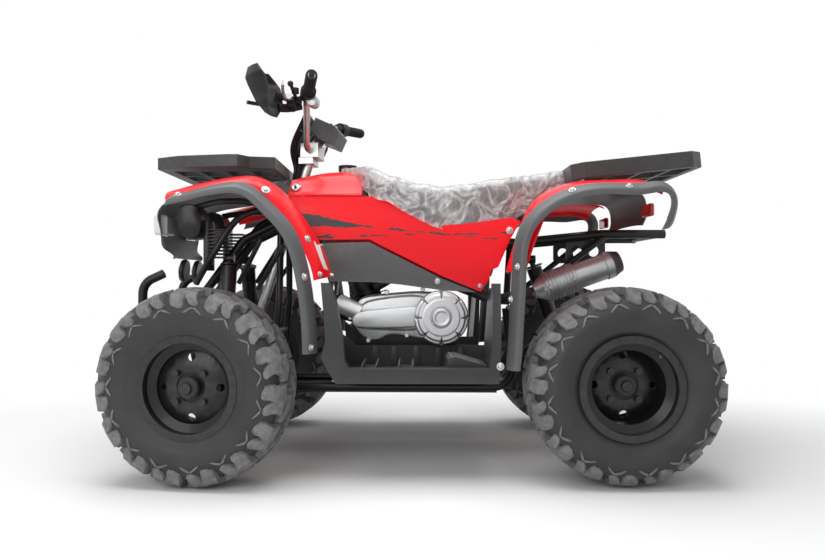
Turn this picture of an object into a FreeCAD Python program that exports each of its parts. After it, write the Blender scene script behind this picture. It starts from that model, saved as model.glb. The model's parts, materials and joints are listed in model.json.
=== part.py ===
"""Four-wheeled utility quad bike, one STEP file per sub-part.

Millimetres, +Z up. The front of the quad points to -X and its left side to -Y.
The origin is on the ground, midway between the axles, on the centre plane.
The quad stands parked with the front wheels turned a little to the right.
"""
import FreeCAD, Part
import math
import os

from FreeCAD import Vector

# Overall sizes
wheelbase = 1180.0
front_track = 860.0
rear_track = 800.0
tyre_radius = 276.0

# The body's stations below are drawn for this wheelbase and axle height
drawn_wheelbase = 1180.0
drawn_axle = 276.0

# Wheels
front_tyre_width = 180.0
rear_tyre_width = 250.0
rim_seat_radius = 127.0
rim_lip_height = 17.0
rim_wall = 3.0
front_rim_width = 146.0
rear_rim_width = 222.0
front_disc_inset = 34.0
rear_disc_inset = 88.0
hub_bore_radius = 42.0
lug_circle = 110.0
lug_count = 4
lug_hole_radius = 5.5
lug_nut_radius = 9.5
lug_nut_length = 16.0
hub_flange_radius = 70.0
hub_flange_thickness = 8.0
hub_boss_radius = 30.0
hub_nose = 16.0
stud_radius = 5.0
rim_well_depth = 22.0
disc_wall = 3.5
disc_dish = 12.0
disc_flat_radius = 70.0
window_radius = 11.0
window_margin = 8.0

# Steering
rest_steer = -8.0
kingpin_half_track = 330.0
kingpin_radius = 13.0
steering_arm = 75.0
column_radius = 16.0
column_top = (-341.0, 1000.0)
column_foot = (-560.0, 330.0)
grip_radius = 16.5
bar_radius = 11.0
grip_half_span = 352.0

knuckle_drop = 70.0
arm_ball_radius = 15.0
arm_radius = 11.0
shock_foot = 236.0
shock_eye = 14.0
knuckle_rise = 76.0
spindle_radius = 14.0
front_hub_reach = 34.0
tie_rod_rise = 24.0
tie_rod_radius = 6.0
tie_rod_gap = 22.0
ball_height = 16.0
eye_radius = 11.0
eye_height = 14.0
drop_arm_half = 32.0

# Drive axle
axle_radius = 17.0
rear_hub_reach = 60.0
bearing_clearance = 0.05

# Chassis tubes and bodywork
frame_radius = 14.0
panel = 3.0
lamp_edge = 6.0
flare_wall = 3.5
seam = 1.0
body_half_width = 465.0
touch_gap = 0.3
footwell_half_width = 450.0
fender_half_width = 428.0
cable_radius = 4.5
bar_bend = 40.0
column_bearings = (50.0, 440.0)
bearing_wall = 9.0
rear_rack_tilt = 5.9
column_opening_radius = 42.0

# Engine and exhaust
cylinder_fins = 8
clutch_cover_radius = 84.0
clutch_notches = 8
muffler_radius = 39.0

origin = Vector(0, 0, 0)
side_axis = Vector(0, 1, 0)
up_axis = Vector(0, 0, 1)


def at(x, y, z):
    """Place a drawn station on the quad."""
    return Vector(x * wheelbase / drawn_wheelbase, y, z + tyre_radius - drawn_axle)


front_axle_x = -wheelbase / 2
rear_axle_x = wheelbase / 2
axle_z = tyre_radius


def mirrored(shape):
    return shape.mirror(origin, side_axis)


def both(shape):
    """A left-hand piece and its right-hand twin."""
    return [shape, mirrored(shape)]


def save(name, solids):
    """Write the solids of one node."""
    pieces = []
    for shape in solids:
        pieces += shape.Solids
    shape = pieces[0] if len(pieces) == 1 else Part.makeCompound(pieces)
    shape.exportStep("parts/" + name + ".step")
    print(name, len(pieces), round(shape.Volume / 1000), "cm3", shape.isValid())


def fused(shapes):
    whole = shapes[0]
    for shape in shapes[1:]:
        whole = whole.fuse(shape)
    return whole.removeSplitter()


def box(low, high):
    """Block between two drawn corners."""
    a = at(*low)
    b = at(*high)
    return Part.makeBox(b.x - a.x, b.y - a.y, b.z - a.z, a)


def rod(start, end, radius):
    along = end - start
    return Part.makeCylinder(radius, along.Length, start, along)


def pipe(start, end, outer, inner):
    return rod(start, end, outer).cut(rod(start, end, inner))


def route(points, bend):
    """Straight runs joined by tangent arcs of the bend radius, or less on short runs."""
    edges = []
    here = points[0]
    for before, corner, after in zip(points, points[1:], points[2:]):
        back = (before - corner).normalize()
        ahead = (after - corner).normalize()
        half = back.getAngle(ahead) / 2
        shorter = min((before - corner).Length, (after - corner).Length)
        trim = min(bend / math.tan(half), 0.45 * shorter)
        radius = trim * math.tan(half)
        first = corner + back * trim
        last = corner + ahead * trim
        inward = (back + ahead).normalize()
        middle = corner + inward * (radius / math.sin(half) - radius)
        edges.append(Part.LineSegment(here, first).toShape())
        edges.append(Part.Arc(first, middle, last).toShape())
        here = last
    edges.append(Part.LineSegment(here, points[-1]).toShape())
    return Part.Wire(edges)


def tube(points, radius, bend=60.0):
    """Round bar along drawn stations."""
    places = [at(*point) for point in points]
    if len(places) == 2:
        return rod(places[0], places[1], radius)
    path = route(places, bend)
    section = Part.Wire([Part.Circle(places[0], places[1] - places[0], radius).toShape()])
    return path.makePipeShell([section], True, True)


def turned(profile, centre, outward):
    """Ring turned about the wheel's axis from (radius, outward distance) pairs."""
    points = [centre + Vector(radius, outward * along, 0) for radius, along in profile]
    face = Part.Face(Part.makePolygon(points + points[:1]))
    return face.revolve(centre, side_axis, 360)


def evenly(points, count):
    """Points spaced evenly on a smooth curve through the given ones."""
    curve = Part.BSplineCurve()
    curve.interpolate(list(points))
    return curve.discretize(Number=count)


def skin(grid, thickness):
    """Thin moulded shell on a smooth surface through rows of drawn stations."""
    rows = [[at(*point) for point in row] for row in grid]
    columns = [evenly(column, 2 * len(rows)) for column in zip(*rows)]
    rows = [evenly(row, 2 * len(columns)) for row in zip(*columns)]
    surface = Part.BSplineSurface()
    surface.interpolate(rows)
    return surface.toShape().makeOffsetShape(thickness, 0.01, False, False, 0, 0, True)


def side_plate(outline, near, far):
    """Plate between two distances from the centre plane, cut to a side-view outline."""
    points = [at(x, near, z) for x, z in outline]
    face = Part.Face(Part.makePolygon(points + points[:1]))
    return face.extrude(Vector(0, far - near, 0))


def flat_plate(outline, low, high):
    """Plate between two drawn heights, cut to a plan-view outline."""
    points = [at(x, y, low) for x, y in outline]
    face = Part.Face(Part.makePolygon(points + points[:1]))
    return face.extrude(Vector(0, 0, high - low))


# Wheels

def wheel_centre(half_track, x, side):
    return Vector(x, side * half_track, axle_z)


# The tyre's outline: share of the wall's height above the rim's lip, distance in from the widest place
tyre_shape = [(0.152, 9), (0.333, 2), (0.545, 0), (0.727, 3), (0.864, 12), (0.947, 24), (1, 44)]


def tyre(centre, width, rim_width):
    """Balloon tyre; its lugs lie inside this outline."""
    half = width / 2
    seat = rim_width / 2 - rim_wall - touch_gap
    lip = rim_seat_radius + rim_lip_height
    profile = [(rim_seat_radius + touch_gap, -seat), (lip + 2, -seat)]
    for share, inset in tyre_shape:
        profile.append((lip + (tyre_radius - lip) * share, -half + inset))
    profile += [(radius, -along) for radius, along in reversed(profile)]
    return turned(profile, centre, 1)


def lug_spots(centre, circle, turn):
    """Points evenly spaced round the wheel's axis."""
    angles = [2 * math.pi * (index + 0.5) / lug_count + turn for index in range(lug_count)]
    return [centre + Vector(math.cos(a), 0, math.sin(a)) * circle for a in angles]


def rim(centre, width, inset, outward):
    """Pressed steel rim: two lips, a stepped barrel and a disc set in from the outer lip."""
    half = width / 2
    wall = rim_wall
    seat = rim_seat_radius
    well = seat - rim_well_depth
    lip = seat + rim_lip_height
    outer = [(lip, half), (lip, half - wall), (seat, half - wall), (seat, half - 24)]
    outer += [(well, half - 36), (well, 34 - half), (seat, 22 - half)]
    outer += [(seat, wall - half), (lip, wall - half), (lip, -half)]
    inner = [(seat - wall, -half), (seat - wall, 24 - half), (well - wall, 36 - half)]
    inner += [(well - wall, half - 38), (seat - wall, half - 26), (seat - wall, half)]
    barrel = turned(outer + inner, centre, outward)
    face = half - inset
    back = face - disc_wall
    edge = well - wall
    front = [(hub_bore_radius, face), (disc_flat_radius, face), (edge, face - disc_dish)]
    rear = [(edge, back - disc_dish), (disc_flat_radius, back), (hub_bore_radius, back)]
    disc = turned(front + rear, centre, outward)
    holes = []
    along = Vector(0, width, 0)
    for spot in lug_spots(centre, lug_circle / 2, 0):
        holes.append(rod(spot - along, spot + along, lug_hole_radius))
    for spot in lug_spots(centre, edge - window_margin - window_radius, math.pi / lug_count):
        holes.append(rod(spot - along, spot + along, window_radius))
    return fused([barrel, disc]).cut(holes)


def hub(centre, width, inset, outward, reach, bore):
    """Flange behind the rim's disc, studs through it, nuts on it and a boss along the axle."""
    face = width / 2 - inset
    back = face - disc_wall - touch_gap
    flange = back - hub_flange_thickness
    front = face + hub_nose
    boss = [(bore, back - reach), (hub_boss_radius, back - reach)]
    boss += [(hub_boss_radius, flange), (hub_flange_radius, flange), (hub_flange_radius, back)]
    boss += [(hub_boss_radius, back), (hub_boss_radius, front), (bore, front)]
    pieces = [turned(boss, centre, outward)]
    for spot in lug_spots(centre, lug_circle / 2, 0):
        foot = spot + side_axis * outward * (flange + 1)
        seat = spot + side_axis * outward * face
        pieces.append(rod(foot, seat + side_axis * outward * 4, stud_radius))
        pieces.append(rod(seat, seat + side_axis * outward * lug_nut_length, lug_nut_radius))
    return fused(pieces)


def steered(shape, side):
    """Turn a wheel-side piece about its kingpin to the parked angle."""
    pin = Vector(front_axle_x, side * kingpin_half_track, 0)
    turned_shape = shape.copy()
    turned_shape.rotate(pin, up_axis, rest_steer)
    return turned_shape


def front_wheel(side):
    """Tyre, rim and hub of one front wheel."""
    centre = wheel_centre(front_track / 2, front_axle_x, side)
    seat = front_rim_width
    parts = {
        "tyre": tyre(centre, front_tyre_width, seat),
        "rim": rim(centre, seat, front_disc_inset, side),
        "hub": hub(centre, seat, front_disc_inset, side, front_hub_reach, spindle_radius + bearing_clearance),
    }
    return {name: steered(shape, side) for name, shape in parts.items()}


def knuckle(side):
    """Upright on the kingpin, with the spindle, the steering arm and its ball."""
    pin = Vector(front_axle_x, side * kingpin_half_track, 0)
    post = rod(pin + up_axis * (axle_z - knuckle_drop), pin + up_axis * (axle_z + knuckle_rise), kingpin_radius)
    foot = pin + up_axis * axle_z
    tip = side * (front_track / 2 + front_rim_width / 2 - front_disc_inset)
    spindle = rod(foot, Vector(front_axle_x, tip, axle_z), spindle_radius)
    web = Part.makeBox(44, 22, 60, foot + Vector(-22, -11, -30))
    arm_start = foot + up_axis * tie_rod_rise
    arm_end = arm_start + Vector(steering_arm, 0, 0)
    arm = rod(arm_start, arm_end, 9)
    ball = rod(arm_end, arm_end + up_axis * ball_height, 7)
    return steered(fused([post, spindle, web, arm, ball]), side)


def swung(point, pin, axis, degrees):
    """Turn a point about an axis through a pin."""
    return pin + FreeCAD.Rotation(axis, degrees).multVec(point - pin)


def column_point(along):
    """Point on the steering column's axis, measured from its foot."""
    foot = at(column_foot[0], 0, column_foot[1])
    top = at(column_top[0], 0, column_top[1])
    return foot + (top - foot).normalize() * along


column_axis = column_point(1) - column_point(0)
column_length = (at(column_top[0], 0, column_top[1]) - column_point(0)).Length


def drop_arm_pin(side):
    """Where a tie rod meets the drop arm, at the parked angle."""
    pin = column_point(0) + Vector(steering_arm, side * drop_arm_half, 0)
    return swung(pin, column_point(0), column_axis, rest_steer)


def tie_rod(side):
    """Rod from above the knuckle's ball to below the drop arm, with an eye at each end."""
    pin = Vector(front_axle_x, side * kingpin_half_track, 0)
    ball = swung(pin + Vector(steering_arm, 0, 0), pin, up_axis, rest_steer)
    eye_foot = ball + up_axis * (axle_z + tie_rod_rise + ball_height + touch_gap)
    outer = eye_foot + up_axis * eye_height / 2
    inner = drop_arm_pin(side) - up_axis * tie_rod_gap
    shaft = rod(outer, inner, tie_rod_radius)
    eyes = [rod(eye_foot, eye_foot + up_axis * eye_height, eye_radius)]
    half = up_axis * eye_height / 2
    eyes.append(rod(inner - half, inner + half, eye_radius))
    return fused([shaft] + eyes)


def turned_with_bars(shape):
    """Turn a piece about the steering column to the parked angle."""
    piece = shape.copy()
    piece.rotate(column_point(0), column_axis, rest_steer)
    return piece


def steering_column():
    """Raked shaft with the drop arm at its foot and the bar clamp's base at its top."""
    shaft = rod(column_point(0), column_point(column_length - 40), column_radius)
    arm = rod(column_point(0), column_point(0) + Vector(steering_arm, 0, 0), 11)
    ear = rod(column_point(0) + Vector(steering_arm, -drop_arm_half - 9, 0),
              column_point(0) + Vector(steering_arm, drop_arm_half + 9, 0), 9)
    base = box((-378, -38, 958), (-330, 38, 978))
    return turned_with_bars(fused([shaft, arm, ear, base]))


def grip_ends(side):
    """The straight end run of the bar: its outer end and its direction inwards."""
    outer = at(-247, side * grip_half_span, 1151)
    inner = at(-315, side * 170, 1128)
    return outer, (inner - outer).normalize()


def handlebar():
    """Bent bar from grip to grip, with its clamp over the column's top."""
    half = [(-341, -70, 1002), (-325, -128, 1078), (-315, -170, 1128)]
    middle = [at(x, y, z) for x, y, z in half]
    outer, inward = grip_ends(-1)
    places = [outer + inward * 4] + list(reversed(middle))
    places += [Vector(p.x, -p.y, p.z) for p in reversed(places)]
    section = Part.Wire([Part.Circle(places[0], places[1] - places[0], bar_radius).toShape()])
    bar = route(places, bar_bend).makePipeShell([section], True, True)
    clamp = box((-371, -42, 979), (-311, 42, 1026))
    return turned_with_bars(fused([bar, clamp]))


def grips(side):
    """Rubber grip with a flange on the end of the bar."""
    outer, inward = grip_ends(side)
    start = outer + inward * 2
    sleeve = pipe(start, start + inward * 112, grip_radius, bar_radius + touch_gap)
    flange = pipe(start + inward * 106, start + inward * 112, 21, bar_radius + touch_gap)
    plug = rod(outer - inward * 6, start - inward * touch_gap, 8.5)
    return [turned_with_bars(fused([sleeve, flange])), turned_with_bars(plug)]


def controls(side):
    """Switch housing, lever perch and lever beside the grip."""
    outer, inward = grip_ends(side)
    start = outer + inward * 116
    housing = pipe(start, start + inward * 34, 24, bar_radius + touch_gap)
    perch = pipe(start + inward * 37, start + inward * 56, 17, bar_radius + touch_gap)
    pivot = start + inward * 50 + Vector(-34, 0, -6)
    arm = rod(start + inward * 50 + Vector(-14, 0, 0), pivot, 8)
    tip = outer + inward * 30 + Vector(-62, 0, -12)
    lever = rod(pivot, tip, 5.5)
    knob = Part.makeSphere(9, tip)
    return [turned_with_bars(piece) for piece in (housing, fused([perch, arm, lever, knob]))]


def instrument_pod():
    """Gauge housing in front of the bar clamp."""
    outline = [(-317, 1108), (-250, 1076), (-234, 1054), (-253, 1012), (-306, 1034), (-334, 1066)]
    pod = side_plate(outline, -56, 56)
    stem = box((-330, -16, 1026.3), (-306, 16, 1064))
    return turned_with_bars(fused([pod, stem]))


def hand_guard(side):
    """Bowed shield in front of the grip, on an arm from the bar."""
    grid = []
    for x, z, fade in ((-418, 1194, 0.75), (-462, 1180, 0.95), (-484, 1130, 1.0), (-478, 1072, 0.85)):
        row = []
        for across in (-1.0, -0.6, -0.2, 0.2, 0.6, 1.0):
            bow = 1 - across * across
            row.append((x - 22 * bow + 10, side * (294 + 62 * across * fade), z - 6 * across * across))
        grid.append(row)
    shield = skin(grid, panel)
    return turned_with_bars(shield)


def hand_guard_arm(side):
    start = at(-476, side * 262, 1104)
    bend = at(-390, side * 196, 1102)
    end = at(-336, side * 166, 1118)
    return turned_with_bars(fused([rod(start, bend, 6), Part.makeSphere(6, bend), rod(bend, end, 6)]))


def cable_bundle():
    """Brake, throttle and wiring runs held against the column, from bar to nose."""
    runs = []
    for across, start in ((-20, -90), (-9, -70), (9, 70), (20, 90)):
        line = [(-356, start, 1056), (-394, start * 0.6, 1015), (-391, across, 955), (-409, across, 872)]
        runs.append(tube(line, cable_radius))
    return [turned_with_bars(run) for run in runs]


# Chassis

# Where the rear subframe is butted to the top rail: x, half width, z
subframe_joint = (200, 124.8, 690)


def mirrored_tube(points, radius):
    """One tube each side, from the left-hand stations given with positive widths."""
    return [tube([(x, side * y, z) for x, y, z in points], radius) for side in (-1, 1)]


def cross_tubes(stations, radius):
    return [tube([(x, -y, z), (x, y, z)], radius) for x, y, z in stations]


def frame():
    """Welded double cradle: lower rails, top rails, posts and the column's two bearings."""
    lower = [(-690, 80, 520), (-735, 80, 420), (-690, 100, 232), (-560, 110, 226), (300, 120, 226)]
    lower += [(345, 120, 330), (330, 120, 470)]
    top = [(-690, 80, 520), (-560, 70, 700), (-420, 80, 770), (-160, 100, 770), (60, 130, 690), subframe_joint]
    tubes = mirrored_tube(lower, frame_radius) + mirrored_tube(top, frame_radius)
    tubes += mirrored_tube([(-462, 112, 226), (-436, 95, 500), (-434, 79, 764)], 11)
    tubes += mirrored_tube([(-40, 118, 226), (-40, 118, 290)], 9)
    tubes += cross_tubes([(-735, 80, 420), (-690, 100, 236), (-480, 112, 226), (280, 119, 226)], 11)
    tubes += cross_tubes([(-454, 78, 756), (340, 121, 470), (-690, 80, 520)], 11)
    tubes += cross_tubes([(-448, 101, 400)], 10)
    tubes.append(box((-545, -14, 386), (-448, 14, 400)))
    for along in column_bearings:
        ring = column_point(along)
        tubes.append(rod(ring, ring + column_axis * 26, column_radius + bearing_wall))
    bores = [rod(column_point(-5), column_point(column_length), column_radius + bearing_clearance)]
    return fused(tubes).cut(bores)


def rear_subframe():
    """Rails that carry the seat and the tail, butted to the cradle's rails."""
    tubes = mirrored_tube([subframe_joint, (330, 120, 690), (600, 150, 716), (800, 150, 716)], frame_radius)
    tubes += mirrored_tube([(331, 120, 482), (345, 124, 690)], 12)
    tubes += mirrored_tube([(338, 122, 496), (620, 150, 716)], 10)
    tubes += cross_tubes([(600, 150, 716), (790, 150, 716)], 11)
    return fused(tubes)


def engine():
    """Horizontal single: crankcase, finned cylinder, head and the case behind it."""
    case = box((-190, -100, 262), (62, 92, 430))
    case = case.makeChamfer(14, [e for e in case.Edges if abs(e.tangentAt(e.FirstParameter).y) > 0.9])
    rear_case = rod(at(62, -100, 346), at(62, 60, 346), 78)
    start = at(-120, 0, 425)
    lean = Vector(-0.34, 0, 1).normalize()
    barrel = rod(start, start + lean * 150, 44)
    pieces = [case, rear_case, barrel]
    for index in range(cylinder_fins):
        foot = start + lean * (22 + index * 12)
        pieces.append(rod(foot, foot + lean * 4, 66))
    head = rod(start + lean * 122, start + lean * 172, 52)
    pieces.append(head)
    return fused(pieces)


def belt_outline(grow):
    """Side view of the long cover over both pulleys."""
    outline = [(-177, 420), (-177, 505), (-150, 532), (-60, 538), (30, 520)]
    outline += [(150, 490), (171, 455), (165, 410), (120, 374), (40, 366), (-60, 372), (-150, 392)]
    centre_x = sum(x for x, z in outline) / len(outline)
    centre_z = sum(z for x, z in outline) / len(outline)
    return [(x + grow * (1 if x > centre_x else -1), z + grow * (1 if z > centre_z else -1)) for x, z in outline]


def belt_cover():
    """Cast aluminium cover of the belt drive, stepped in two levels."""
    base = side_plate(belt_outline(0), -100.3, -196)
    step = side_plate(belt_outline(-14), -195, -214)
    return fused([base, step])


def clutch_cover():
    """Round cap over the driven pulley, notched at its rim, with a stepped centre."""
    centre = at(87, -214.3, 454)
    disc = rod(centre, centre - side_axis * 20, clutch_cover_radius)
    disc = disc.makeChamfer(5, [max(disc.Edges, key=lambda e: -e.BoundBox.YMin + e.Length)])
    ring = rod(centre - side_axis * 20, centre - side_axis * 26, 52)
    cap = rod(centre - side_axis * 26, centre - side_axis * 33, 30)
    whole = fused([disc, ring, cap])
    notches = []
    for index in range(clutch_notches):
        angle = 2 * math.pi * index / clutch_notches
        spot = centre + Vector(math.cos(angle), 0, math.sin(angle)) * (clutch_cover_radius + 2)
        notches.append(rod(spot - side_axis * 12, spot - side_axis * 40, 8))
    return whole.cut(notches)


def intake_duct():
    """Cooling duct from the front into the belt cover."""
    return tube([(-248, -150, 520), (-232, -150, 474), (-186, -150, 462)], 27, 30)


def skid_plate():
    """Folded plate under the engine."""
    return flat_plate([(-520, -96), (270, -118), (270, 118), (-520, 96)], 206, 211.7)


# Footwells

def footwell(side):
    """Moulded well: floor, inner wall, front and rear risers and the outer rail."""
    y_in = side * 170
    y_rail = side * 410
    y_out = side * footwell_half_width
    outer = [(-215, 282), (238, 282), (242, 340), (244, 420), (242, 560), (220, 560), (220, 400)]
    outer += [(212, 323), (-178, 323), (-190, 345), (-198, 420), (-216, 520), (-232, 562)]
    outer += [(-256, 562), (-248, 470), (-244, 400), (-256, 352)]
    rail = side_plate(outer, y_rail, y_out)
    floor = side_plate([(-222, 290), (230, 290), (230, 300), (-216, 300)], y_in, y_rail)
    heel = side_plate([(215, 300), (240, 300), (246, 545), (234, 545)], y_in + side * 30, y_rail)
    toe = side_plate([(-222, 290), (-216, 300), (-240, 400), (-246, 400)], y_in, y_rail)
    wall = side_plate([(-244, 292), (232, 292), (225, 365), (-180, 365), (-246, 420)], y_in, y_in + side * 5)
    cleats = []
    for x in (-150, -45):
        cleats.append(box((x, min(y_in, y_rail) + 60, 299), (x + 40, max(y_in, y_rail) - 20, 306)))
    rest = side_plate([(98, 300), (210, 300), (210, 326), (120, 352), (98, 346)], side * 250, side * 400)
    return fused([rail, floor, heel, toe, wall, rest] + cleats)


# Bodywork

def crowned(profile, crown, side):
    """Rows of stations: a side-view line pushed along its normal by a crown across the width."""
    rows = []
    last = len(profile) - 1
    for index, (x, z, inner) in enumerate(profile):
        ahead = profile[min(index + 1, last)]
        behind = profile[max(index - 1, 0)]
        run = Vector(ahead[0] - behind[0], 0, ahead[1] - behind[1]).normalize()
        normal = Vector(-run.z, 0, run.x)
        row = []
        for share, rise in crown:
            across = inner + (fender_half_width - inner) * share
            row.append((x + normal.x * rise, side * across, z + normal.z * rise))
        rows.append(row)
    return rows


fender_crown = [(0, -4), (0.12, 5), (0.4, 11), (0.7, 7), (0.88, -4), (0.97, -16), (1, -30)]


def front_fender(side):
    """Red fender over one front wheel, from the nose down to the footwell."""
    line = [(-700, 818, 236), (-610, 842, 232), (-520, 860, 218), (-455, 861, 228), (-400, 833, 237)]
    line += [(-350, 775, 240), (-300, 700, 250), (-268, 640, 262), (-250, 576, 268)]
    return skin(crowned(line, fender_crown, side), -side * panel)


def flare(line, side, reach):
    """Grey lip round a wheel opening: a sloping top, a rounded edge and a turned-down lip."""
    rows = []
    for x, z, run_x, run_z in line:
        row = []
        for across, down in ((-reach, -13), (-reach * 0.5, -5), (-9, 0), (0, 7), (2, 15), (1, 24)):
            row.append((x + run_x * down, side * (body_half_width + across), z + run_z * down))
        rows.append(row)
    return rows


def front_flare(side):
    line = [(-676, 796, -0.35, -0.94), (-600, 815, -0.3, -0.95), (-520, 831, -0.2, -0.98)]
    line += [(-472, 829, -0.35, -0.94), (-410, 782, -0.6, -0.8), (-345, 710, -0.75, -0.66)]
    line += [(-312, 630, -0.93, -0.36), (-294, 540, -0.98, -0.18), (-284, 450, -1, -0.05), (-281, 366, -1, 0)]
    return skin(flare(line, side, body_half_width - fender_half_width - 2 * seam), -side * flare_wall)


def rear_fender(side):
    """Red fender over one rear wheel, from the footwell over the top to the tail."""
    line = [(283, 592, 268), (303, 655, 250), (333, 735, 214), (368, 800, 206), (421, 833, 206)]
    line += [(480, 848, 206), (560, 852, 206), (650, 853, 206), (705, 838, 206)]
    return skin(crowned(line, fender_crown, side), -side * panel)


def rear_flare(side):
    line = [(270, 320, 1, 0), (280, 450, 1, -0.05), (288, 600, 0.97, -0.22), (303, 700, 0.9, -0.43)]
    line += [(350, 764, 0.66, -0.75), (410, 803, 0.4, -0.92), (470, 823, 0.15, -0.99)]
    line += [(560, 829, 0, -1), (650, 831, 0, -1), (705, 829, -0.2, -0.98), (726, 800, -0.8, -0.6)]
    line += [(722, 750, -0.98, -0.2), (703, 712, -0.9, -0.2)]
    return skin(flare(line, side, body_half_width - fender_half_width - 2 * seam), -side * flare_wall)


def flank_reach(x, z):
    """Distance of the body's side from the centre plane."""
    shoulder = max(0.0, z - 690) / 200
    tuck = max(0.0, 640 - z) / 120
    return 232 - 46 * shoulder * shoulder - 8 * tuck * tuck - 10 * math.cos(x / 190)


def flank(outline, side, low_x, high_x, low_z, high_z, proud):
    """Curved side skin cut to a side-view outline."""
    rows = []
    for step in range(9):
        x = low_x + (high_x - low_x) * step / 8
        row = []
        for rise in range(9):
            z = low_z + (high_z - low_z) * rise / 8
            row.append((x, side * (flank_reach(x, z) + proud), z))
        rows.append(row)
    cutter = side_plate(outline, side * 120, side * 320)
    return skin(rows, side * panel).common(cutter)


def side_panel(side):
    """Red panel between the seat and the grey lower panel."""
    outline = [(-296, 694), (-135, 695), (87, 583), (208, 534), (234, 572), (240, 600), (262, 610)]
    outline += [(296, 690), (330, 752), (300, 762), (180, 746), (85, 738), (0, 772), (-70, 820), (-110, 830)]
    outline += [(-386, 830), (-388, 790), (-366, 748), (-330, 712)]
    return flank(outline, side, -400, 345, 520, 850, 0)


def lower_panel(side):
    """Grey panel below the red one, over the engine."""
    outline = [(-291, 683), (-136, 687), (87, 575), (196, 532), (90, 538), (-40, 556), (-117, 563), (-258, 566)]
    return flank(outline, side, -310, 345, 520, 850, 2)


def tank_cover():
    """Red saddle over the fuel tank, from the nose cowl to the seat."""
    rows = []
    stations = [(-392, 903, 138), (-340, 915, 140), (-280, 926, 138), (-220, 929, 134), (-160, 924, 128)]
    for x, top, shoulder in stations:
        half = []
        for across, drop in ((0, 0), (0.45, 3), (0.8, 11), (1.0, 24)):
            half.append((x, shoulder * across, top - drop))
        half.append((x, shoulder + 26, top - 50))
        half.append((x, flank_reach(x, 834) + panel + seam, 834))
        rows.append([(px, -py, pz) for px, py, pz in reversed(half[1:])] + half)
    return skin(rows, -panel).cut(column_opening())


def column_opening():
    """Round opening that the steering column and its cables turn in."""
    middle = column_point(column_length - 110)
    return rod(middle - column_axis * 120, middle + column_axis * 60, column_opening_radius)


def fuel_cap():
    """Screw cap on its neck."""
    foot = at(-222, 0, 930)
    neck = rod(foot, foot + up_axis * 8, 26)
    cap = rod(foot + up_axis * 8, foot + up_axis * 26, 31)
    return fused([neck, cap])


def seat():
    """Long cushion, low at the knees and rising to the tail."""
    sections = []
    stations = [(-150, 921, 872, 78), (-70, 886, 800, 118), (20, 860, 758, 150), (91, 850, 728, 172)]
    stations += [(180, 860, 735, 186), (320, 884, 750, 194), (430, 898, 815, 196), (530, 912, 866, 190)]
    for x, top, bottom, half in stations:
        corners = [(-half, bottom), (-half - 4, (top + bottom) / 2), (-half + 6, top - 22), (-half + 34, top - 4)]
        corners += [(0, top + 4)]
        corners += [(-y, z) for y, z in reversed(corners[:-1])]
        sections.append(Part.makePolygon([at(x, y, z) for y, z in corners + corners[:1]]))
    return Part.makeLoft(sections, True, False)


def nose_cowl():
    """Grey shell from the bumper over the headlights back to the steering column."""
    rows = []
    for x, z, half, fall in ((-772, 640, 150, 6), (-798, 690, 186, 10), (-804, 745, 206, 14), (-790, 800, 218, 18),
                             (-742, 842, 222, 24), (-640, 866, 222, 26), (-520, 882, 200, 24), (-404, 897, 170, 24)):
        back = 1 if z < 800 else 0
        row = []
        for across in (-1, -0.8, -0.4, 0, 0.4, 0.8, 1):
            drop = fall * abs(across) ** 4
            row.append((x + drop * back, across * half, z - drop * (1 - back)))
        rows.append(row)
    return skin(rows, -panel).cut([column_opening(), lamp_block(-1, seam), lamp_block(1, seam)])


def lamp_block(side, grow):
    near, far = sorted((side * 92, side * 176))
    return box((-818 - grow, near - grow, 712 - grow), (-776 + grow, far + grow, 776 + grow))


def headlight(side):
    """Lamp block at the corner of the nose."""
    lamp = lamp_block(side, 0)
    return lamp.makeChamfer(lamp_edge, lamp.Edges)


# Racks, bumper and lights

def front_rack():
    """Moulded carrier: deep outer band, open deck of bars."""
    outline = [(-775, -258), (-700, -300), (-548, -330), (-515, -330), (-490, -290), (-415, -275)]
    outline += [(x, -y) for x, y in reversed(outline)]
    return carrier(outline, 904, 940, front_rack_holes)


def carrier(outline, low, high, holes):
    deck = flat_plate(outline, low, high)
    for x0, x1, y0, y1 in holes:
        opening = flat_plate([(x0, y0), (x1, y0), (x1, y1), (x0, y1)], low - 1, high + 1)
        deck = deck.cut(opening)
    return deck


def grid_holes(x_edges, y_edges, bar):
    """Openings between the bars of a carrier."""
    holes = []
    for x0, x1 in zip(x_edges, x_edges[1:]):
        for y0, y1 in zip(y_edges, y_edges[1:]):
            holes.append((x0 + bar, x1 - bar, y0 + bar, y1 - bar))
    return holes


front_rack_holes = grid_holes((-745, -665, -585, -505, -425), (-230, -115, 0, 115, 230), 8)
rear_rack_holes = grid_holes((490, 580, 670, 760, 840), (-310, -155, 0, 155, 310), 8)


def rear_rack():
    """Moulded carrier over the tail, sloping up to the rear."""
    outline = [(467, -300), (500, -330), (820, -330), (860, -290)]
    outline += [(x, -y) for x, y in reversed(outline)]
    deck = carrier(outline, 866, 913, rear_rack_holes)
    deck.rotate(at(467, 0, 913), side_axis, -rear_rack_tilt)
    return deck


def front_bumper():
    """Bent tube guard ahead of the nose."""
    loop = [(-737, -103, 300), (-800, -150, 330), (-847, -190, 420), (-845, -190, 560), (-780, -190, 590)]
    half = tube(loop, frame_radius, 50)
    bars = [half, mirrored(half)]
    bars.append(tube([(-846, -190, 500), (-846, 190, 500)], 12))
    return fused(bars)


def tail_light(side):
    near, far = sorted((side * 210, side * 290))
    lamp = box((706, near, 762), (722, far, 800))
    return lamp.makeChamfer(4, lamp.Edges)


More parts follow.
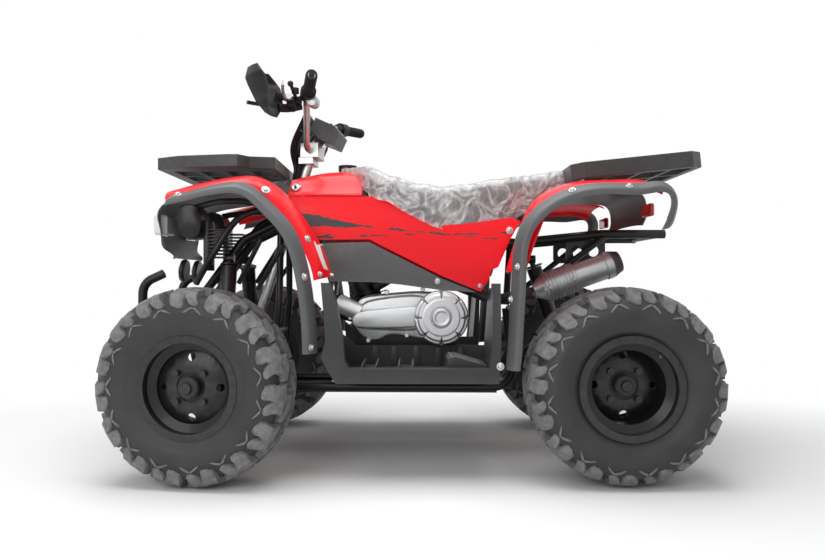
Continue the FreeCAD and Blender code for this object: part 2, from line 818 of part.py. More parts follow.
def tail_shell():
    """Grey moulding behind the seat, between the rear fenders."""
    rows = []
    for x, z in ((545, 846), (600, 850), (660, 850), (712, 838), (728, 800), (716, 740)):
        rows.append([(x, y, z + 6 - 6 * abs(y / 200) ** 3) for y in (-200, -130, -60, 60, 130, 200)])
    return skin(rows, -panel)


# Suspension, drive and exhaust

def front_arm(side):
    """Lower and upper wishbones of one side; the shock stands on the lower and passes through the upper."""
    tip = side * (kingpin_half_track - kingpin_radius - arm_ball_radius - 1.5)
    seat = side * shock_foot
    arms = []
    for height, inner, knee, spread in ((218, side * 136, side * 200, 40), (340, side * 112, side * 258, 46)):
        pieces = [Part.makeSphere(arm_ball_radius, at(-590, tip, height + 4))]
        for way in (-1, 1):
            legs = [(-590 + way * 60, inner, height), (-590 + way * spread, knee, height + 3), (-590, tip, height + 4)]
            pieces.append(tube(legs, arm_radius, 30))
        arms.append(pieces)
    arms[0].append(tube([(-622, seat, 221), (-558, seat, 221)], arm_radius - 2))
    return [fused(pieces) for pieces in arms]


def front_shock(side):
    """Coil-over from the lower wishbone up to the top rail."""
    foot = at(-590, side * shock_foot, 221 + arm_radius - 2 + shock_eye + touch_gap)
    top = at(-590, side * 122, 640)
    return coil_over(foot, top)


def coil_over(foot, top):
    along = (top - foot).normalize()
    length = (top - foot).Length
    pieces = [rod(foot, top, 9)]
    pieces.append(rod(foot + along * 26, top - along * 30, 25))
    pieces.append(rod(foot + along * 18, foot + along * 24, 30))
    pieces.append(rod(top - along * 28, top - along * 22, 30))
    for end in (foot, top):
        pieces.append(rod(end - Vector(14, 0, 0), end + Vector(14, 0, 0), shock_eye))
    return fused(pieces)


def swing_arm():
    """Two arms from the engine's rear to the axle housing."""
    pieces = [pipe(at(590, -90, 276), at(590, 90, 276), 36, axle_radius + bearing_clearance)]
    for side in (-1, 1):
        pieces.append(tube([(552, side * 70, 290), (370, side * 84, 300)], 20))
        pieces.append(tube([(566, side * 70, 300), (480, side * 78, 390), (380, side * 84, 312)], 10, 30))
    pieces.append(tube([(362, -106, 300), (362, 106, 300)], 22))
    pieces.append(tube([(484, -88, 384), (484, 88, 384)], 10))
    whole = fused(pieces)
    return whole.cut(rod(at(590, -120, 276), at(590, 120, 276), axle_radius + bearing_clearance))


def rear_shock():
    return coil_over(at(478, 0, 410), at(400, 0, 640))


def rear_axle():
    """Solid axle with the brake disc, the sprocket and both wheel hubs."""
    tip = rear_track / 2 + rear_rim_width / 2 - rear_disc_inset + hub_nose
    pieces = [rod(at(590, -tip, 276), at(590, tip, 276), axle_radius)]
    pieces.append(rod(at(590, 120, 276), at(590, 125, 276), 95))
    pieces.append(rod(at(590, -132, 276), at(590, -124, 276), 105))
    pieces.append(rod(at(590, -140, 276), at(590, -100, 276), 30))
    pieces.append(rod(at(590, 100, 276), at(590, 140, 276), 30))
    for side in (-1, 1):
        centre = wheel_centre(rear_track / 2, rear_axle_x, side)
        pieces.append(hub(centre, rear_rim_width, rear_disc_inset, side, rear_hub_reach, axle_radius - 1))
    return fused(pieces)


def exhaust():
    """Header pipe and muffler on the left side, rising to the rear."""
    low = at(395, -260, 545)
    high = at(600, -260, 618.5)
    along = (high - low).normalize()
    can = rod(low, high, muffler_radius)
    cap = Part.makeCone(muffler_radius + 1.5, muffler_radius - 8, 26, high + along * 0.3, along)
    neck = Part.makeCone(20, muffler_radius, 30, low - along * 30, along)
    header = tube([(-124, -70, 548), (-60, -90, 585), (120, -110, 560), (262, -150, 505), (368, -260, 534)], 17, 60)
    return [fused([neck, can]), cap, header]


def beam_plate(side):
    """Pressed bracket under the tail, with lightening holes."""
    outline = [(496, 640), (496, 690), (520, 700), (623, 700), (623, 650), (600, 629), (520, 629)]
    plate = side_plate(outline, side * 104, side * 108)
    holes = []
    for x, z, radius in ((530, 664, 18), (584, 664, 18)):
        holes.append(rod(at(x, side * 90, z), at(x, side * 120, z), radius))
    return plate.cut(holes)


def inner_guard(side):
    """Splash wall between a front wheel and the engine."""
    return side_plate([(-300, 300), (-290, 300), (-262, 560), (-300, 700), (-310, 700), (-272, 560)],
                      side * 60, side * 118)


def main():
    os.makedirs("parts", exist_ok=True)
    for side, name in ((-1, "left"), (1, "right")):
        for piece, shape in front_wheel(side).items():
            save("front_" + piece + "_" + name, [shape])
        save("knuckle_" + name, [knuckle(side)])
        save("tie_rod_" + name, [tie_rod(side)])
    save("steering_column", [steering_column()])
    save("handlebar", [handlebar()])
    save("grips", grips(-1) + grips(1))
    save("controls", controls(-1) + controls(1))
    save("instrument_pod", [instrument_pod()])
    save("hand_guards", [hand_guard(-1), hand_guard(1)])
    save("hand_guard_arms", [hand_guard_arm(-1), hand_guard_arm(1)])
    save("control_cables", cable_bundle())
    save("frame", [frame()])
    save("rear_subframe", [rear_subframe()])
    save("engine", [engine()])
    save("belt_cover", [belt_cover()])
    save("clutch_cover", [clutch_cover()])
    save("intake_duct", [intake_duct()])
    save("skid_plate", [skid_plate()])
    save("footwell_left", [footwell(-1)])
    save("footwell_right", [footwell(1)])
    save("front_fender", [front_fender(-1), front_fender(1)])
    save("front_flares", [front_flare(-1), front_flare(1)])
    save("rear_fender", [rear_fender(-1), rear_fender(1)])
    save("rear_flares", [rear_flare(-1), rear_flare(1)])
    save("side_panels", [side_panel(-1), side_panel(1)])
    save("lower_panels", [lower_panel(-1), lower_panel(1)])
    save("tank_cover", [tank_cover()])
    save("fuel_cap", [fuel_cap()])
    save("seat", [seat()])
    save("nose_cowl", [nose_cowl()])
    save("headlights", [headlight(-1), headlight(1)])
    save("front_rack", [front_rack()])
    save("rear_rack", [rear_rack()])
    save("front_bumper", [front_bumper()])
    save("tail_lights", [tail_light(-1), tail_light(1)])
    save("tail_shell", [tail_shell()])
    save("front_arms", front_arm(-1) + front_arm(1))
    save("front_shocks", [front_shock(-1), front_shock(1)])
    save("swing_arm", [swing_arm()])
    save("rear_shock", [rear_shock()])
    save("rear_axle", [rear_axle()])
    for side, name in ((-1, "left"), (1, "right")):
        centre = wheel_centre(rear_track / 2, rear_axle_x, side)
        save("rear_tyre_" + name, [tyre(centre, rear_tyre_width, rear_rim_width)])
        save("rear_rim_" + name, [rim(centre, rear_rim_width, rear_disc_inset, side)])
    save("exhaust", exhaust())
    save("beam_plates", [beam_plate(-1), beam_plate(1)])
    save("inner_guards", [inner_guard(-1), inner_guard(1)])


main()
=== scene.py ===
"""A four-wheeled utility quad bike, dressed piece by piece round its CAD frame. Metres, front at -X, left
side at -Y."""
import json
import math

import bmesh
import bpy
import numpy as np
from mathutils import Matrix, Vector
from mathutils.bvhtree import BVHTree

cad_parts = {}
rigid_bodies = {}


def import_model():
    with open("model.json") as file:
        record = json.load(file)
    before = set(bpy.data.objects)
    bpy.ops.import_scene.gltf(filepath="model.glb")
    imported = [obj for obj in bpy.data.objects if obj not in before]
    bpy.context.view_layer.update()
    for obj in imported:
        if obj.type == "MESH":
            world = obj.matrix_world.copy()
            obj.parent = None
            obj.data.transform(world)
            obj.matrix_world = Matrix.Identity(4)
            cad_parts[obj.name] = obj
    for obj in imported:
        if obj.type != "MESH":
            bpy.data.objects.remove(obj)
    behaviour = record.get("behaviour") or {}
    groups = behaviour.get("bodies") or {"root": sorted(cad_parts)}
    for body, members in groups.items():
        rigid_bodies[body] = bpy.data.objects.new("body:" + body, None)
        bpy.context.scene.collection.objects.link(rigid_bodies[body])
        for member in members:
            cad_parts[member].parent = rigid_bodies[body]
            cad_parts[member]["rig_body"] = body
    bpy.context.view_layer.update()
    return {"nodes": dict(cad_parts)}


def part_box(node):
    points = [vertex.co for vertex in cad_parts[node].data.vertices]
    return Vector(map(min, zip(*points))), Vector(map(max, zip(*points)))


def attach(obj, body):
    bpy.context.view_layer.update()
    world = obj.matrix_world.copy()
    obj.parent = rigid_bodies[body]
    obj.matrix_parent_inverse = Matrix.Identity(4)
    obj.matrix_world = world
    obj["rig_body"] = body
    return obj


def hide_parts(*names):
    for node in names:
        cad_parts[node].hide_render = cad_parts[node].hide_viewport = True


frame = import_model()
nodes = frame["nodes"]


# ---------------------------------------------------------------------------
# Studio: a pale floor that fades into a white room, one large soft lamp overhead
# and a weaker one in front, and a level camera on the quad's left side.

scene = bpy.context.scene
scene.view_settings.view_transform = "Standard"


def node_tree(holder):
    """Empty node tree of a material or world, with a function that adds a node and sets its sockets by
    name."""
    holder.use_nodes = True
    tree = holder.node_tree
    tree.nodes.clear()

    def add(kind, values=None, **settings):
        item = tree.nodes.new(kind)
        for key, value in settings.items():
            setattr(item, key, value)
        for socket, value in (values or {}).items():
            if isinstance(value, bpy.types.NodeSocket):
                tree.links.new(value, item.inputs[socket])
            else:
                item.inputs[socket].default_value = value
        return item

    return tree, add


room = bpy.data.worlds.new("room")
scene.world = room
tree, add = node_tree(room)
ray = add("ShaderNodeLightPath")
seen = add("ShaderNodeMath", {0: ray.outputs["Is Camera Ray"], 1: ray.outputs["Is Glossy Ray"]},
           operation="MAXIMUM")
seen = add("ShaderNodeMath", {0: seen.outputs[0], 1: ray.outputs["Is Transmission Ray"]}, operation="MAXIMUM")
dim = add("ShaderNodeBackground", {"Color": (1, 1, 1, 1), "Strength": 0.42})
white = add("ShaderNodeBackground", {"Color": (1, 1, 1, 1), "Strength": 1.0})
mix = add("ShaderNodeMixShader", {0: seen.outputs[0], 1: dim.outputs[0], 2: white.outputs[0]})
add("ShaderNodeOutputWorld", {"Surface": mix.outputs[0]})

floor_mesh = bpy.data.meshes.new("floor")
floor_mesh.from_pydata([(-9, -9, 0), (9, -9, 0), (9, 9, 0), (-9, 9, 0)], [], [(0, 1, 2, 3)])
floor = bpy.data.objects.new("floor", floor_mesh)
scene.collection.objects.link(floor)
floor_paint = bpy.data.materials.new("floor_paint")
tree, add = node_tree(floor_paint)
place = add("ShaderNodeTexCoord")
flat = add("ShaderNodeVectorMath", {0: place.outputs["Object"], 1: (0.62, 1.0, 0)}, operation="MULTIPLY")
far = add("ShaderNodeVectorMath", {0: flat.outputs[0]}, operation="LENGTH")
fade = add("ShaderNodeMapRange", {"Value": far.outputs["Value"], "From Min": 0.75, "From Max": 1.5},
           interpolation_type="SMOOTHSTEP")
ray = add("ShaderNodeLightPath")
shown = add("ShaderNodeMath", {0: fade.outputs[0], 1: ray.outputs["Is Camera Ray"]}, operation="MULTIPLY")
matt = add("ShaderNodeBsdfDiffuse", {"Color": (0.93, 0.93, 0.93, 1)})
glow = add("ShaderNodeEmission", {"Color": (1, 1, 1, 1), "Strength": 1.0})
mix = add("ShaderNodeMixShader", {0: shown.outputs[0], 1: matt.outputs[0], 2: glow.outputs[0]})
add("ShaderNodeOutputMaterial", {"Surface": mix.outputs[0]})
floor_mesh.materials.append(floor_paint)

for name, place, turn, width, power in (
        ("overhead", (-0.3, -0.4, 3.2), (0.0, 0.0, 0.0), 2.6, 84),
        ("front_fill", (-1.6, -3.4, 1.9), (1.15, 0.0, -0.42), 2.2, 42),
        ("rear_fill", (2.8, 2.2, 2.2), (-1.05, 0.55, 2.2), 1.8, 26)):
    lamp = bpy.data.lights.new(name, "AREA")
    lamp.size = width
    lamp.energy = power
    holder = bpy.data.objects.new(name, lamp)
    holder.location = place
    holder.rotation_euler = turn
    scene.collection.objects.link(holder)

eye = bpy.data.cameras.new("eye")
eye.sensor_width = 36.0
eye.lens = 31.24
camera = bpy.data.objects.new("eye", eye)
camera.location = (-0.002, -2.43, 0.57)
camera.rotation_euler = (math.pi / 2, 0, 0)
scene.collection.objects.link(camera)
scene.camera = camera


# ---------------------------------------------------------------------------
# Moulded black and grey plastic: fenders' lips, footwells, carriers, cowl. Injection
# moulded with a fine leather grain and lighter sharp edges, partly rubbed wear and partly painted highlight.

def effect_group(name, sockets_in, sockets_out):
    """Shader node group with float or colour sockets, and a function that adds nodes to it."""
    group = bpy.data.node_groups.new(name, "ShaderNodeTree")
    for label, kind, value in sockets_in:
        socket = group.interface.new_socket(label, in_out="INPUT", socket_type=kind)
        socket.default_value = value
    for label, kind in sockets_out:
        group.interface.new_socket(label, in_out="OUTPUT", socket_type=kind)

    def add(kind, values=None, **settings):
        item = group.nodes.new(kind)
        for key, value in settings.items():
            setattr(item, key, value)
        for socket, value in (values or {}).items():
            if isinstance(value, bpy.types.NodeSocket):
                group.links.new(value, item.inputs[socket])
            else:
                item.inputs[socket].default_value = value
        return item

    return group, add, add("NodeGroupInput"), add("NodeGroupOutput")


NUMBER = "NodeSocketFloat"
COLOUR = "NodeSocketColor"

# Mottle: two sizes of noise shade a colour and a roughness, and a fine grain gives height.
mottle, add, given, result = effect_group(
    "mottle",
    [("Colour", COLOUR, (0.5, 0.5, 0.5, 1)), ("Shade", NUMBER, 0.15), ("Roughness", NUMBER, 0.5),
     ("Spread", NUMBER, 0.08), ("Scale", NUMBER, 6.0), ("Grain Scale", NUMBER, 700.0)],
    [("Colour", COLOUR), ("Roughness", NUMBER), ("Grain", NUMBER), ("Cloud", NUMBER)])
place = add("ShaderNodeTexCoord")
cloud = add("ShaderNodeTexNoise",
            {"Vector": place.outputs["Object"], "Scale": given.outputs["Scale"], "Detail": 5.0})
grain = add("ShaderNodeTexNoise",
            {"Vector": place.outputs["Object"], "Scale": given.outputs["Grain Scale"], "Detail": 2.0})
centred = add("ShaderNodeMath", {0: cloud.outputs["Fac"], 1: 0.5}, operation="SUBTRACT")
lift = add("ShaderNodeMath", {0: centred.outputs[0], 1: given.outputs["Shade"], 2: 1.0},
           operation="MULTIPLY_ADD")
shade = add("ShaderNodeVectorMath", {0: given.outputs["Colour"], 1: lift.outputs[0]}, operation="MULTIPLY")
rough = add("ShaderNodeMath",
            {0: centred.outputs[0], 1: given.outputs["Spread"], 2: given.outputs["Roughness"]},
            operation="MULTIPLY_ADD")
for label, socket in (("Colour", shade.outputs[0]), ("Roughness", rough.outputs[0]),
                      ("Grain", grain.outputs["Fac"]),
                      ("Cloud", cloud.outputs["Fac"])):
    bpy.data.node_groups["mottle"].links.new(socket, result.inputs[label])

# Edge wear and painted highlight: how much sharper a spot is than its surroundings, from pointiness, broken
# up by noise. The lighter edge colour it mixes in is rubbed wear on some finishes and painted highlight on
# others.
edge_wear_and_highlight_group, add, given, result = effect_group(
    "edge_wear_and_highlight", [("Start", NUMBER, 0.53), ("End", NUMBER, 0.6), ("Strength", NUMBER, 0.5)],
    [("Mask", NUMBER)])
shape = add("ShaderNodeNewGeometry")
place = add("ShaderNodeTexCoord")
edge_breakup = add("ShaderNodeTexNoise", {"Vector": place.outputs["Object"], "Scale": 60.0, "Detail": 4.0})
sharp = add("ShaderNodeMapRange", {"Value": shape.outputs["Pointiness"], "From Min": given.outputs["Start"],
                                   "From Max": given.outputs["End"]})
edge_wear_and_highlight_mask = add("ShaderNodeMath", {0: sharp.outputs[0], 1: edge_breakup.outputs["Fac"]}, operation="MULTIPLY")
edge_wear_and_highlight_mask = add("ShaderNodeMath", {0: edge_wear_and_highlight_mask.outputs[0], 1: given.outputs["Strength"]}, operation="MULTIPLY")
bpy.data.node_groups["edge_wear_and_highlight"].links.new(edge_wear_and_highlight_mask.outputs[0], result.inputs["Mask"])


def finish(name, colour, roughness, metal=0.0, shade=0.2, spread=0.1, scale=7.0, grain=900.0, bump=0.15,
           depth=0.0004,
           edge=None, edge_strength=0.4, coat=0.0, coat_roughness=0.1, specular=0.28):
    """Material of one plain finish: mottled colour and roughness, a grain bump and, if asked, a lighter
    colour on sharp edges, partly rubbed wear and partly painted highlight."""
    made = bpy.data.materials.new(name)
    tree, add = node_tree(made)
    base = add("ShaderNodeGroup", node_tree=mottle)
    for label, value in (("Colour", (*colour, 1)), ("Shade", shade), ("Roughness", roughness),
                         ("Spread", spread),
                         ("Scale", scale), ("Grain Scale", grain)):
        base.inputs[label].default_value = value
    tint = base.outputs["Colour"]
    if edge is not None:
        # Lighter colour on sharp edges: partly rubbed wear, partly painted highlight.
        edge_wear_and_highlight_mask = add("ShaderNodeGroup", node_tree=edge_wear_and_highlight_group)
        edge_wear_and_highlight_mask.inputs["Strength"].default_value = edge_strength
        tint = add("ShaderNodeMix", {0: edge_wear_and_highlight_mask.outputs["Mask"], 6: tint, 7: (*edge, 1)},
                   data_type="RGBA").outputs[2]
    relief = add("ShaderNodeBump", {"Height": base.outputs["Grain"], "Strength": bump, "Distance": depth})
    skin = add("ShaderNodeBsdfPrincipled", {
        "Base Color": tint, "Roughness": base.outputs["Roughness"], "Metallic": metal,
        "Normal": relief.outputs[0],
        "Coat Weight": coat, "Coat Roughness": coat_roughness, "Specular IOR Level": specular})
    add("ShaderNodeOutputMaterial", {"Surface": skin.outputs[0]})
    return made


def body_of(name):
    """Body that a CAD node belongs to."""
    return nodes[name]["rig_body"]


def smooth_shell(name, material, angle=32.0, bevel=0.0):
    """Copy of a CAD node with its triangles joined, its curved faces shaded smooth and its edges eased."""
    mesh = nodes[name].data.copy()
    shape = bmesh.new()
    shape.from_mesh(mesh)
    bmesh.ops.remove_doubles(shape, verts=shape.verts, dist=1e-5)
    bmesh.ops.dissolve_limit(shape, angle_limit=math.radians(0.5), verts=shape.verts, edges=shape.edges)
    bmesh.ops.triangulate(shape, faces=[f for f in shape.faces if len(f.verts) > 4])
    for face in shape.faces:
        face.smooth = True
    for edge in shape.edges:
        edge.smooth = len(edge.link_faces) == 2 and edge.calc_face_angle(0.0) < math.radians(angle)
    shape.to_mesh(mesh)
    shape.free()
    mesh.materials.clear()
    mesh.materials.append(material)
    piece = bpy.data.objects.new(name + "_finished", mesh)
    scene.collection.objects.link(piece)
    if bevel:
        ease = piece.modifiers.new("ease", "BEVEL")
        ease.width = bevel
        ease.segments = 2
        ease.limit_method = "ANGLE"
        ease.angle_limit = math.radians(40)
        ease.harden_normals = True
    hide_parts(name)
    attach(piece, body_of(name))
    return piece


grey_plastic = finish("grey_plastic", (0.095, 0.098, 0.102), 0.42, shade=0.25, spread=0.18, grain=1500,
                      bump=0.12,
                      edge=(0.3, 0.3, 0.31), edge_strength=0.35, specular=0.4)
black_plastic = finish("black_plastic", (0.010, 0.010, 0.011), 0.45, shade=0.5, spread=0.2, grain=1300,
                       bump=0.2,
                       edge=(0.12, 0.12, 0.12), edge_strength=0.4)
# The lighter sharp edges of charcoal plastic, such as the footwell rails' upper lips, are partly painted
# highlight and partly rubbed wear.
charcoal_plastic = finish("charcoal_plastic", (0.04, 0.041, 0.043), 0.4, shade=0.4, spread=0.2, grain=1300,
                          bump=0.2, edge=(0.25, 0.25, 0.25), edge_strength=0.5)
for name in ("front_flares", "rear_flares", "lower_panels", "nose_cowl", "tail_shell"):
    smooth_shell(name, grey_plastic)
for name in ("footwell_left", "footwell_right", "front_rack", "rear_rack", "instrument_pod"):
    smooth_shell(name, charcoal_plastic, bevel=0.0018)
for name in ("inner_guards", "intake_duct", "controls", "fuel_cap"):
    smooth_shell(name, black_plastic, bevel=0.0015)


# ---------------------------------------------------------------------------
# Red bodywork: gloss plastic panels coloured in the mould, with a clear top coat,
# screwed to the frame at their edges.

red_plastic = finish("red_plastic", (0.87, 0.0015, 0.010), 0.33, shade=0.10, spread=0.08, scale=4.0,
                     grain=220,
                     bump=0.03, depth=0.0006, coat=0.12, coat_roughness=0.05, specular=0.3)
for name in ("front_fender", "rear_fender", "tank_cover"):
    smooth_shell(name, red_plastic)



striped = finish("striped_red", (0.87, 0.0015, 0.010), 0.33, shade=0.10, spread=0.08, scale=4.0, grain=220,
                 bump=0.03, depth=0.0006, coat=0.12, coat_roughness=0.05, specular=0.3)
# A charcoal stripe with ragged edges and a fading field of dots is moulded into the side panels' colour.
tree = striped.node_tree


def put(kind, values=None, **settings):
    item = tree.nodes.new(kind)
    for key, value in settings.items():
        setattr(item, key, value)
    for socket, value in (values or {}).items():
        if isinstance(value, bpy.types.NodeSocket):
            tree.links.new(value, item.inputs[socket])
        else:
            item.inputs[socket].default_value = value
    return item


place = put("ShaderNodeTexCoord")
spot = put("ShaderNodeSeparateXYZ", {0: place.outputs["Object"]})
long_noise = put("ShaderNodeMapping", {"Vector": place.outputs["Object"], "Scale": (26.0, 26.0, 120.0),
                                       "Rotation": (0.0, 0.35, 0.0)})
torn = put("ShaderNodeTexNoise", {"Vector": long_noise.outputs[0], "Scale": 1.0, "Detail": 4.0})
bands = []
for height, slope, half, left, right in ((0.745, -0.10, 0.017, -0.345, -0.130),
                                         (0.704, 0.02, 0.010, -0.335, -0.235)):
    middle = put("ShaderNodeMath", {0: spot.outputs["X"], 1: slope, 2: height + slope * 0.24},
                 operation="MULTIPLY_ADD")
    off = put("ShaderNodeMath", {0: spot.outputs["Z"], 1: middle.outputs[0]}, operation="SUBTRACT")
    off = put("ShaderNodeMath", {0: off.outputs[0]}, operation="ABSOLUTE")
    reach = put("ShaderNodeMapRange", {"Value": spot.outputs["X"], "From Min": left, "From Max": right,
                                       "To Min": half * 1.3, "To Max": 0.0})
    rag = put("ShaderNodeMath", {0: torn.outputs["Fac"], 1: 0.034, 2: -0.017}, operation="MULTIPLY_ADD")
    wide = put("ShaderNodeMath", {0: reach.outputs[0], 1: rag.outputs[0]}, operation="ADD")
    inside = put("ShaderNodeMath", {0: off.outputs[0], 1: wide.outputs[0]}, operation="LESS_THAN")
    started = put("ShaderNodeMath", {0: spot.outputs["X"], 1: left}, operation="GREATER_THAN")
    bands.append(put("ShaderNodeMath", {0: inside.outputs[0], 1: started.outputs[0]}, operation="MULTIPLY"))
dots = put("ShaderNodeTexVoronoi", {"Vector": place.outputs["Object"], "Scale": 170.0, "Randomness": 0.15})
fade = put("ShaderNodeMapRange", {"Value": spot.outputs["Z"], "From Min": 0.755, "From Max": 0.812,
                                  "To Min": 0.42, "To Max": 0.0})
near_front = put("ShaderNodeMapRange", {"Value": spot.outputs["X"], "From Min": -0.345, "From Max": -0.25,
                                        "To Min": 1.0, "To Max": 0.0})
size = put("ShaderNodeMath", {0: fade.outputs[0], 1: near_front.outputs[0]}, operation="MULTIPLY")
dot = put("ShaderNodeMath", {0: dots.outputs["Distance"], 1: size.outputs[0]}, operation="LESS_THAN")
above = put("ShaderNodeMath", {0: spot.outputs["Z"], 1: 0.755}, operation="GREATER_THAN")
dot = put("ShaderNodeMath", {0: dot.outputs[0], 1: above.outputs[0]}, operation="MULTIPLY")
mask = put("ShaderNodeMath", {0: bands[0].outputs[0], 1: bands[1].outputs[0]}, operation="MAXIMUM")
mask = put("ShaderNodeMath", {0: mask.outputs[0], 1: dot.outputs[0]}, operation="MAXIMUM")
shader = next(item for item in tree.nodes if item.bl_idname == "ShaderNodeBsdfPrincipled")
plain = shader.inputs["Base Color"].links[0].from_socket
dark = put("ShaderNodeMix", {0: mask.outputs[0], 6: plain, 7: (0.045, 0.046, 0.05, 1)}, data_type="RGBA")
tree.links.new(dark.outputs[2], shader.inputs["Base Color"])
smooth_shell("side_panels", striped)



def surface(name, rows, wrap_across=False, wrap_along=False):
    """Mesh from a grid of points, rows x columns x 3; either direction can close on itself."""
    n, m = rows.shape[:2]
    i = np.arange(n if wrap_along else n - 1)[:, None]
    j = np.arange(m if wrap_across else m - 1)[None, :]
    a = i * m + j
    b = i * m + (j + 1) % m
    c = (i + 1) % n * m + (j + 1) % m
    d = (i + 1) % n * m + j
    faces = np.stack([a + 0 * b, b + 0 * a, c, d], axis=-1).reshape(-1, 4)
    mesh = bpy.data.meshes.new(name)
    mesh.from_pydata(rows.reshape(-1, 3).tolist(), [], faces.tolist())
    return mesh


def join_meshes(name, meshes):
    """One mesh of several, each kept as its own shell with its poles closed and its faces turned outwards."""
    shape = bmesh.new()
    for mesh in meshes:
        shape.from_mesh(mesh)
        bpy.data.meshes.remove(mesh)
    bmesh.ops.remove_doubles(shape, verts=shape.verts, dist=1e-6)
    bmesh.ops.recalc_face_normals(shape, faces=shape.faces)
    mesh = bpy.data.meshes.new(name)
    shape.to_mesh(mesh)
    shape.free()
    return mesh


def add_piece(name, mesh, material, body, ease=0.0, smooth=None):
    """Put a finished mesh in the scene as a piece that rides on a body."""
    mesh.materials.clear()
    mesh.materials.append(material)
    piece = bpy.data.objects.new(name, mesh)
    scene.collection.objects.link(piece)
    if smooth is not None:
        for polygon in mesh.polygons:
            polygon.use_smooth = True
        mesh.set_sharp_from_angle(angle=math.radians(smooth))
    if ease:
        soften = piece.modifiers.new("ease", "BEVEL")
        soften.width = ease
        soften.segments = 1
        soften.limit_method = "ANGLE"
        soften.angle_limit = math.radians(35)
    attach(piece, body)
    return piece


def lathe(profile, centre, axis, count=40):
    """Closed solid turned about an axis: (radius, along) pairs from pole to pole, carried round a circle."""
    w = np.array(axis, float) / np.linalg.norm(axis)
    u = np.cross(w, (0.0, 0.0, 1.0) if abs(w[2]) < 0.9 else (1.0, 0.0, 0.0))
    u /= np.linalg.norm(u)
    v = np.cross(w, u)
    angle = np.linspace(0, 2 * math.pi, count, endpoint=False)[:, None, None]
    radius, along = np.array(profile, float).T[:, None, :, None]
    rows = np.array(centre) + radius * (np.cos(angle) * u + np.sin(angle) * v) + along * w
    return surface("lathe", rows, wrap_along=True)


def bar(points, radius, sides=10, steps=6, flat=1.0):
    """Round bar with closed ends: a cubic curve through the points, with a circle square to it. flat
    squeezes the circle's second direction."""
    p = np.array(points, float)
    q = np.vstack([2 * p[0] - p[1], p, 2 * p[-1] - p[-2]])
    t = np.linspace(0, 1, steps, endpoint=False)[:, None, None]
    a, b, c, d = q[:-3], q[1:-2], q[2:-1], q[3:]
    line = 0.5 * (2 * b + (c - a) * t + (2 * a - 5 * b + 4 * c - d) * t ** 2
                  + (3 * b - a - 3 * c + d) * t ** 3)
    line = np.vstack([line.transpose(1, 0, 2).reshape(-1, 3), p[-1:]])
    ahead = np.gradient(line, axis=0)
    ahead /= np.linalg.norm(ahead, axis=1, keepdims=True)
    least = np.eye(3)[np.argmin(np.abs(ahead).mean(axis=0))]
    side = np.cross(ahead, least)
    side /= np.linalg.norm(side, axis=1, keepdims=True)
    over = np.cross(ahead, side)
    angle = np.linspace(0, 2 * math.pi, sides, endpoint=False)[None, :, None]
    ring = np.cos(angle) * side[:, None] + np.sin(angle) * over[:, None] * flat
    radii = np.broadcast_to(radius, len(line))[:, None, None]
    rows = line[:, None] + ring * radii
    ends = [np.repeat(line[k][None, None], sides, axis=1) for k in (0, -1)]
    return surface("bar", np.concatenate([ends[0], rows, ends[1]]), wrap_across=True)


def rounded(outline, rounds=3):
    """Closed outline with its corners cut to a quarter and three quarters of each side, again and again."""
    points = np.array(outline, float)
    for _ in range(rounds):
        after = np.roll(points, -1, axis=0)
        points = np.stack([0.75 * points + 0.25 * after, 0.25 * points + 0.75 * after], axis=1).reshape(-1, 2)
    return points


def slab(outline, near, far, ease=0.002, taper=0.0):
    """Side-view outline (x, z) carried across from near to far in y, its far edge eased and drawn in by
    taper."""
    ahead = np.roll(outline, -1, axis=0) - np.roll(outline, 1, axis=0)
    normal = np.stack([ahead[:, 1], -ahead[:, 0]], axis=1) / np.linalg.norm(ahead, axis=1, keepdims=True)
    area = np.sum(outline[:, 0] * np.roll(outline[:, 1], -1) - np.roll(outline[:, 0], -1) * outline[:, 1])
    normal *= np.sign(area)
    way = math.copysign(1.0, far - near)
    rings = []
    for inset, y in ((0, near), (taper, far - way * ease), (taper + 0.3 * ease, far - way * 0.3 * ease),
                     (taper + ease, far)):
        xz = outline - normal * inset
        rings.append(np.stack([xz[:, 0], np.full(len(xz), y), xz[:, 1]], axis=1))
    middle = outline.mean(axis=0)
    for y, place in ((near, 0), (far, len(rings) + 1)):
        pole = np.tile((middle[0], y, middle[1]), (len(outline), 1))
        rings.insert(place, pole)
    return surface("slab", np.stack(rings), wrap_across=True)


# ---------------------------------------------------------------------------
# Painted and bare metal: frame, arms, bumper, engine, covers, muffler.

black_steel = finish("black_steel", (0.009, 0.009, 0.010), 0.34, shade=0.4, spread=0.2, grain=500, bump=0.08,
                     edge=(0.16, 0.16, 0.16), edge_strength=0.3, coat=0.12)
cast_aluminium = finish("cast_aluminium", (0.55, 0.56, 0.57), 0.42, metal=0.85, shade=0.25, spread=0.25,
                        grain=1100,
                        bump=0.5, depth=0.0005, edge=(0.8, 0.8, 0.8), edge_strength=0.4)
silver_paint = finish("silver_paint", (0.5, 0.5, 0.51), 0.38, metal=0.7, shade=0.2, spread=0.15, grain=900,
                      bump=0.2)
zinc = finish("zinc", (0.55, 0.55, 0.54), 0.35, metal=0.9, shade=0.3, spread=0.25, scale=25, grain=400,
              bump=0.1)
for name in ("frame", "front_arms", "swing_arm", "front_bumper", "beam_plates", "knuckle_left",
             "knuckle_right",
             "tie_rod_left", "tie_rod_right", "front_shocks", "hand_guard_arms", "rear_shock", "skid_plate",
             "engine", "rear_subframe",
             "front_hub_left", "front_hub_right", "rear_axle"):
    smooth_shell(name, black_steel)
for name in ("steering_column", "handlebar"):
    smooth_shell(name, zinc)
for name in ("front_rim_left", "front_rim_right", "rear_rim_left", "rear_rim_right"):
    smooth_shell(name, black_steel, angle=25)


# ---------------------------------------------------------------------------
# Belt drive cover: die-cast aluminium in three steps, a long raised pod over the belt, a
# bulge below the front pulley, and a round notched cap over the rear one.

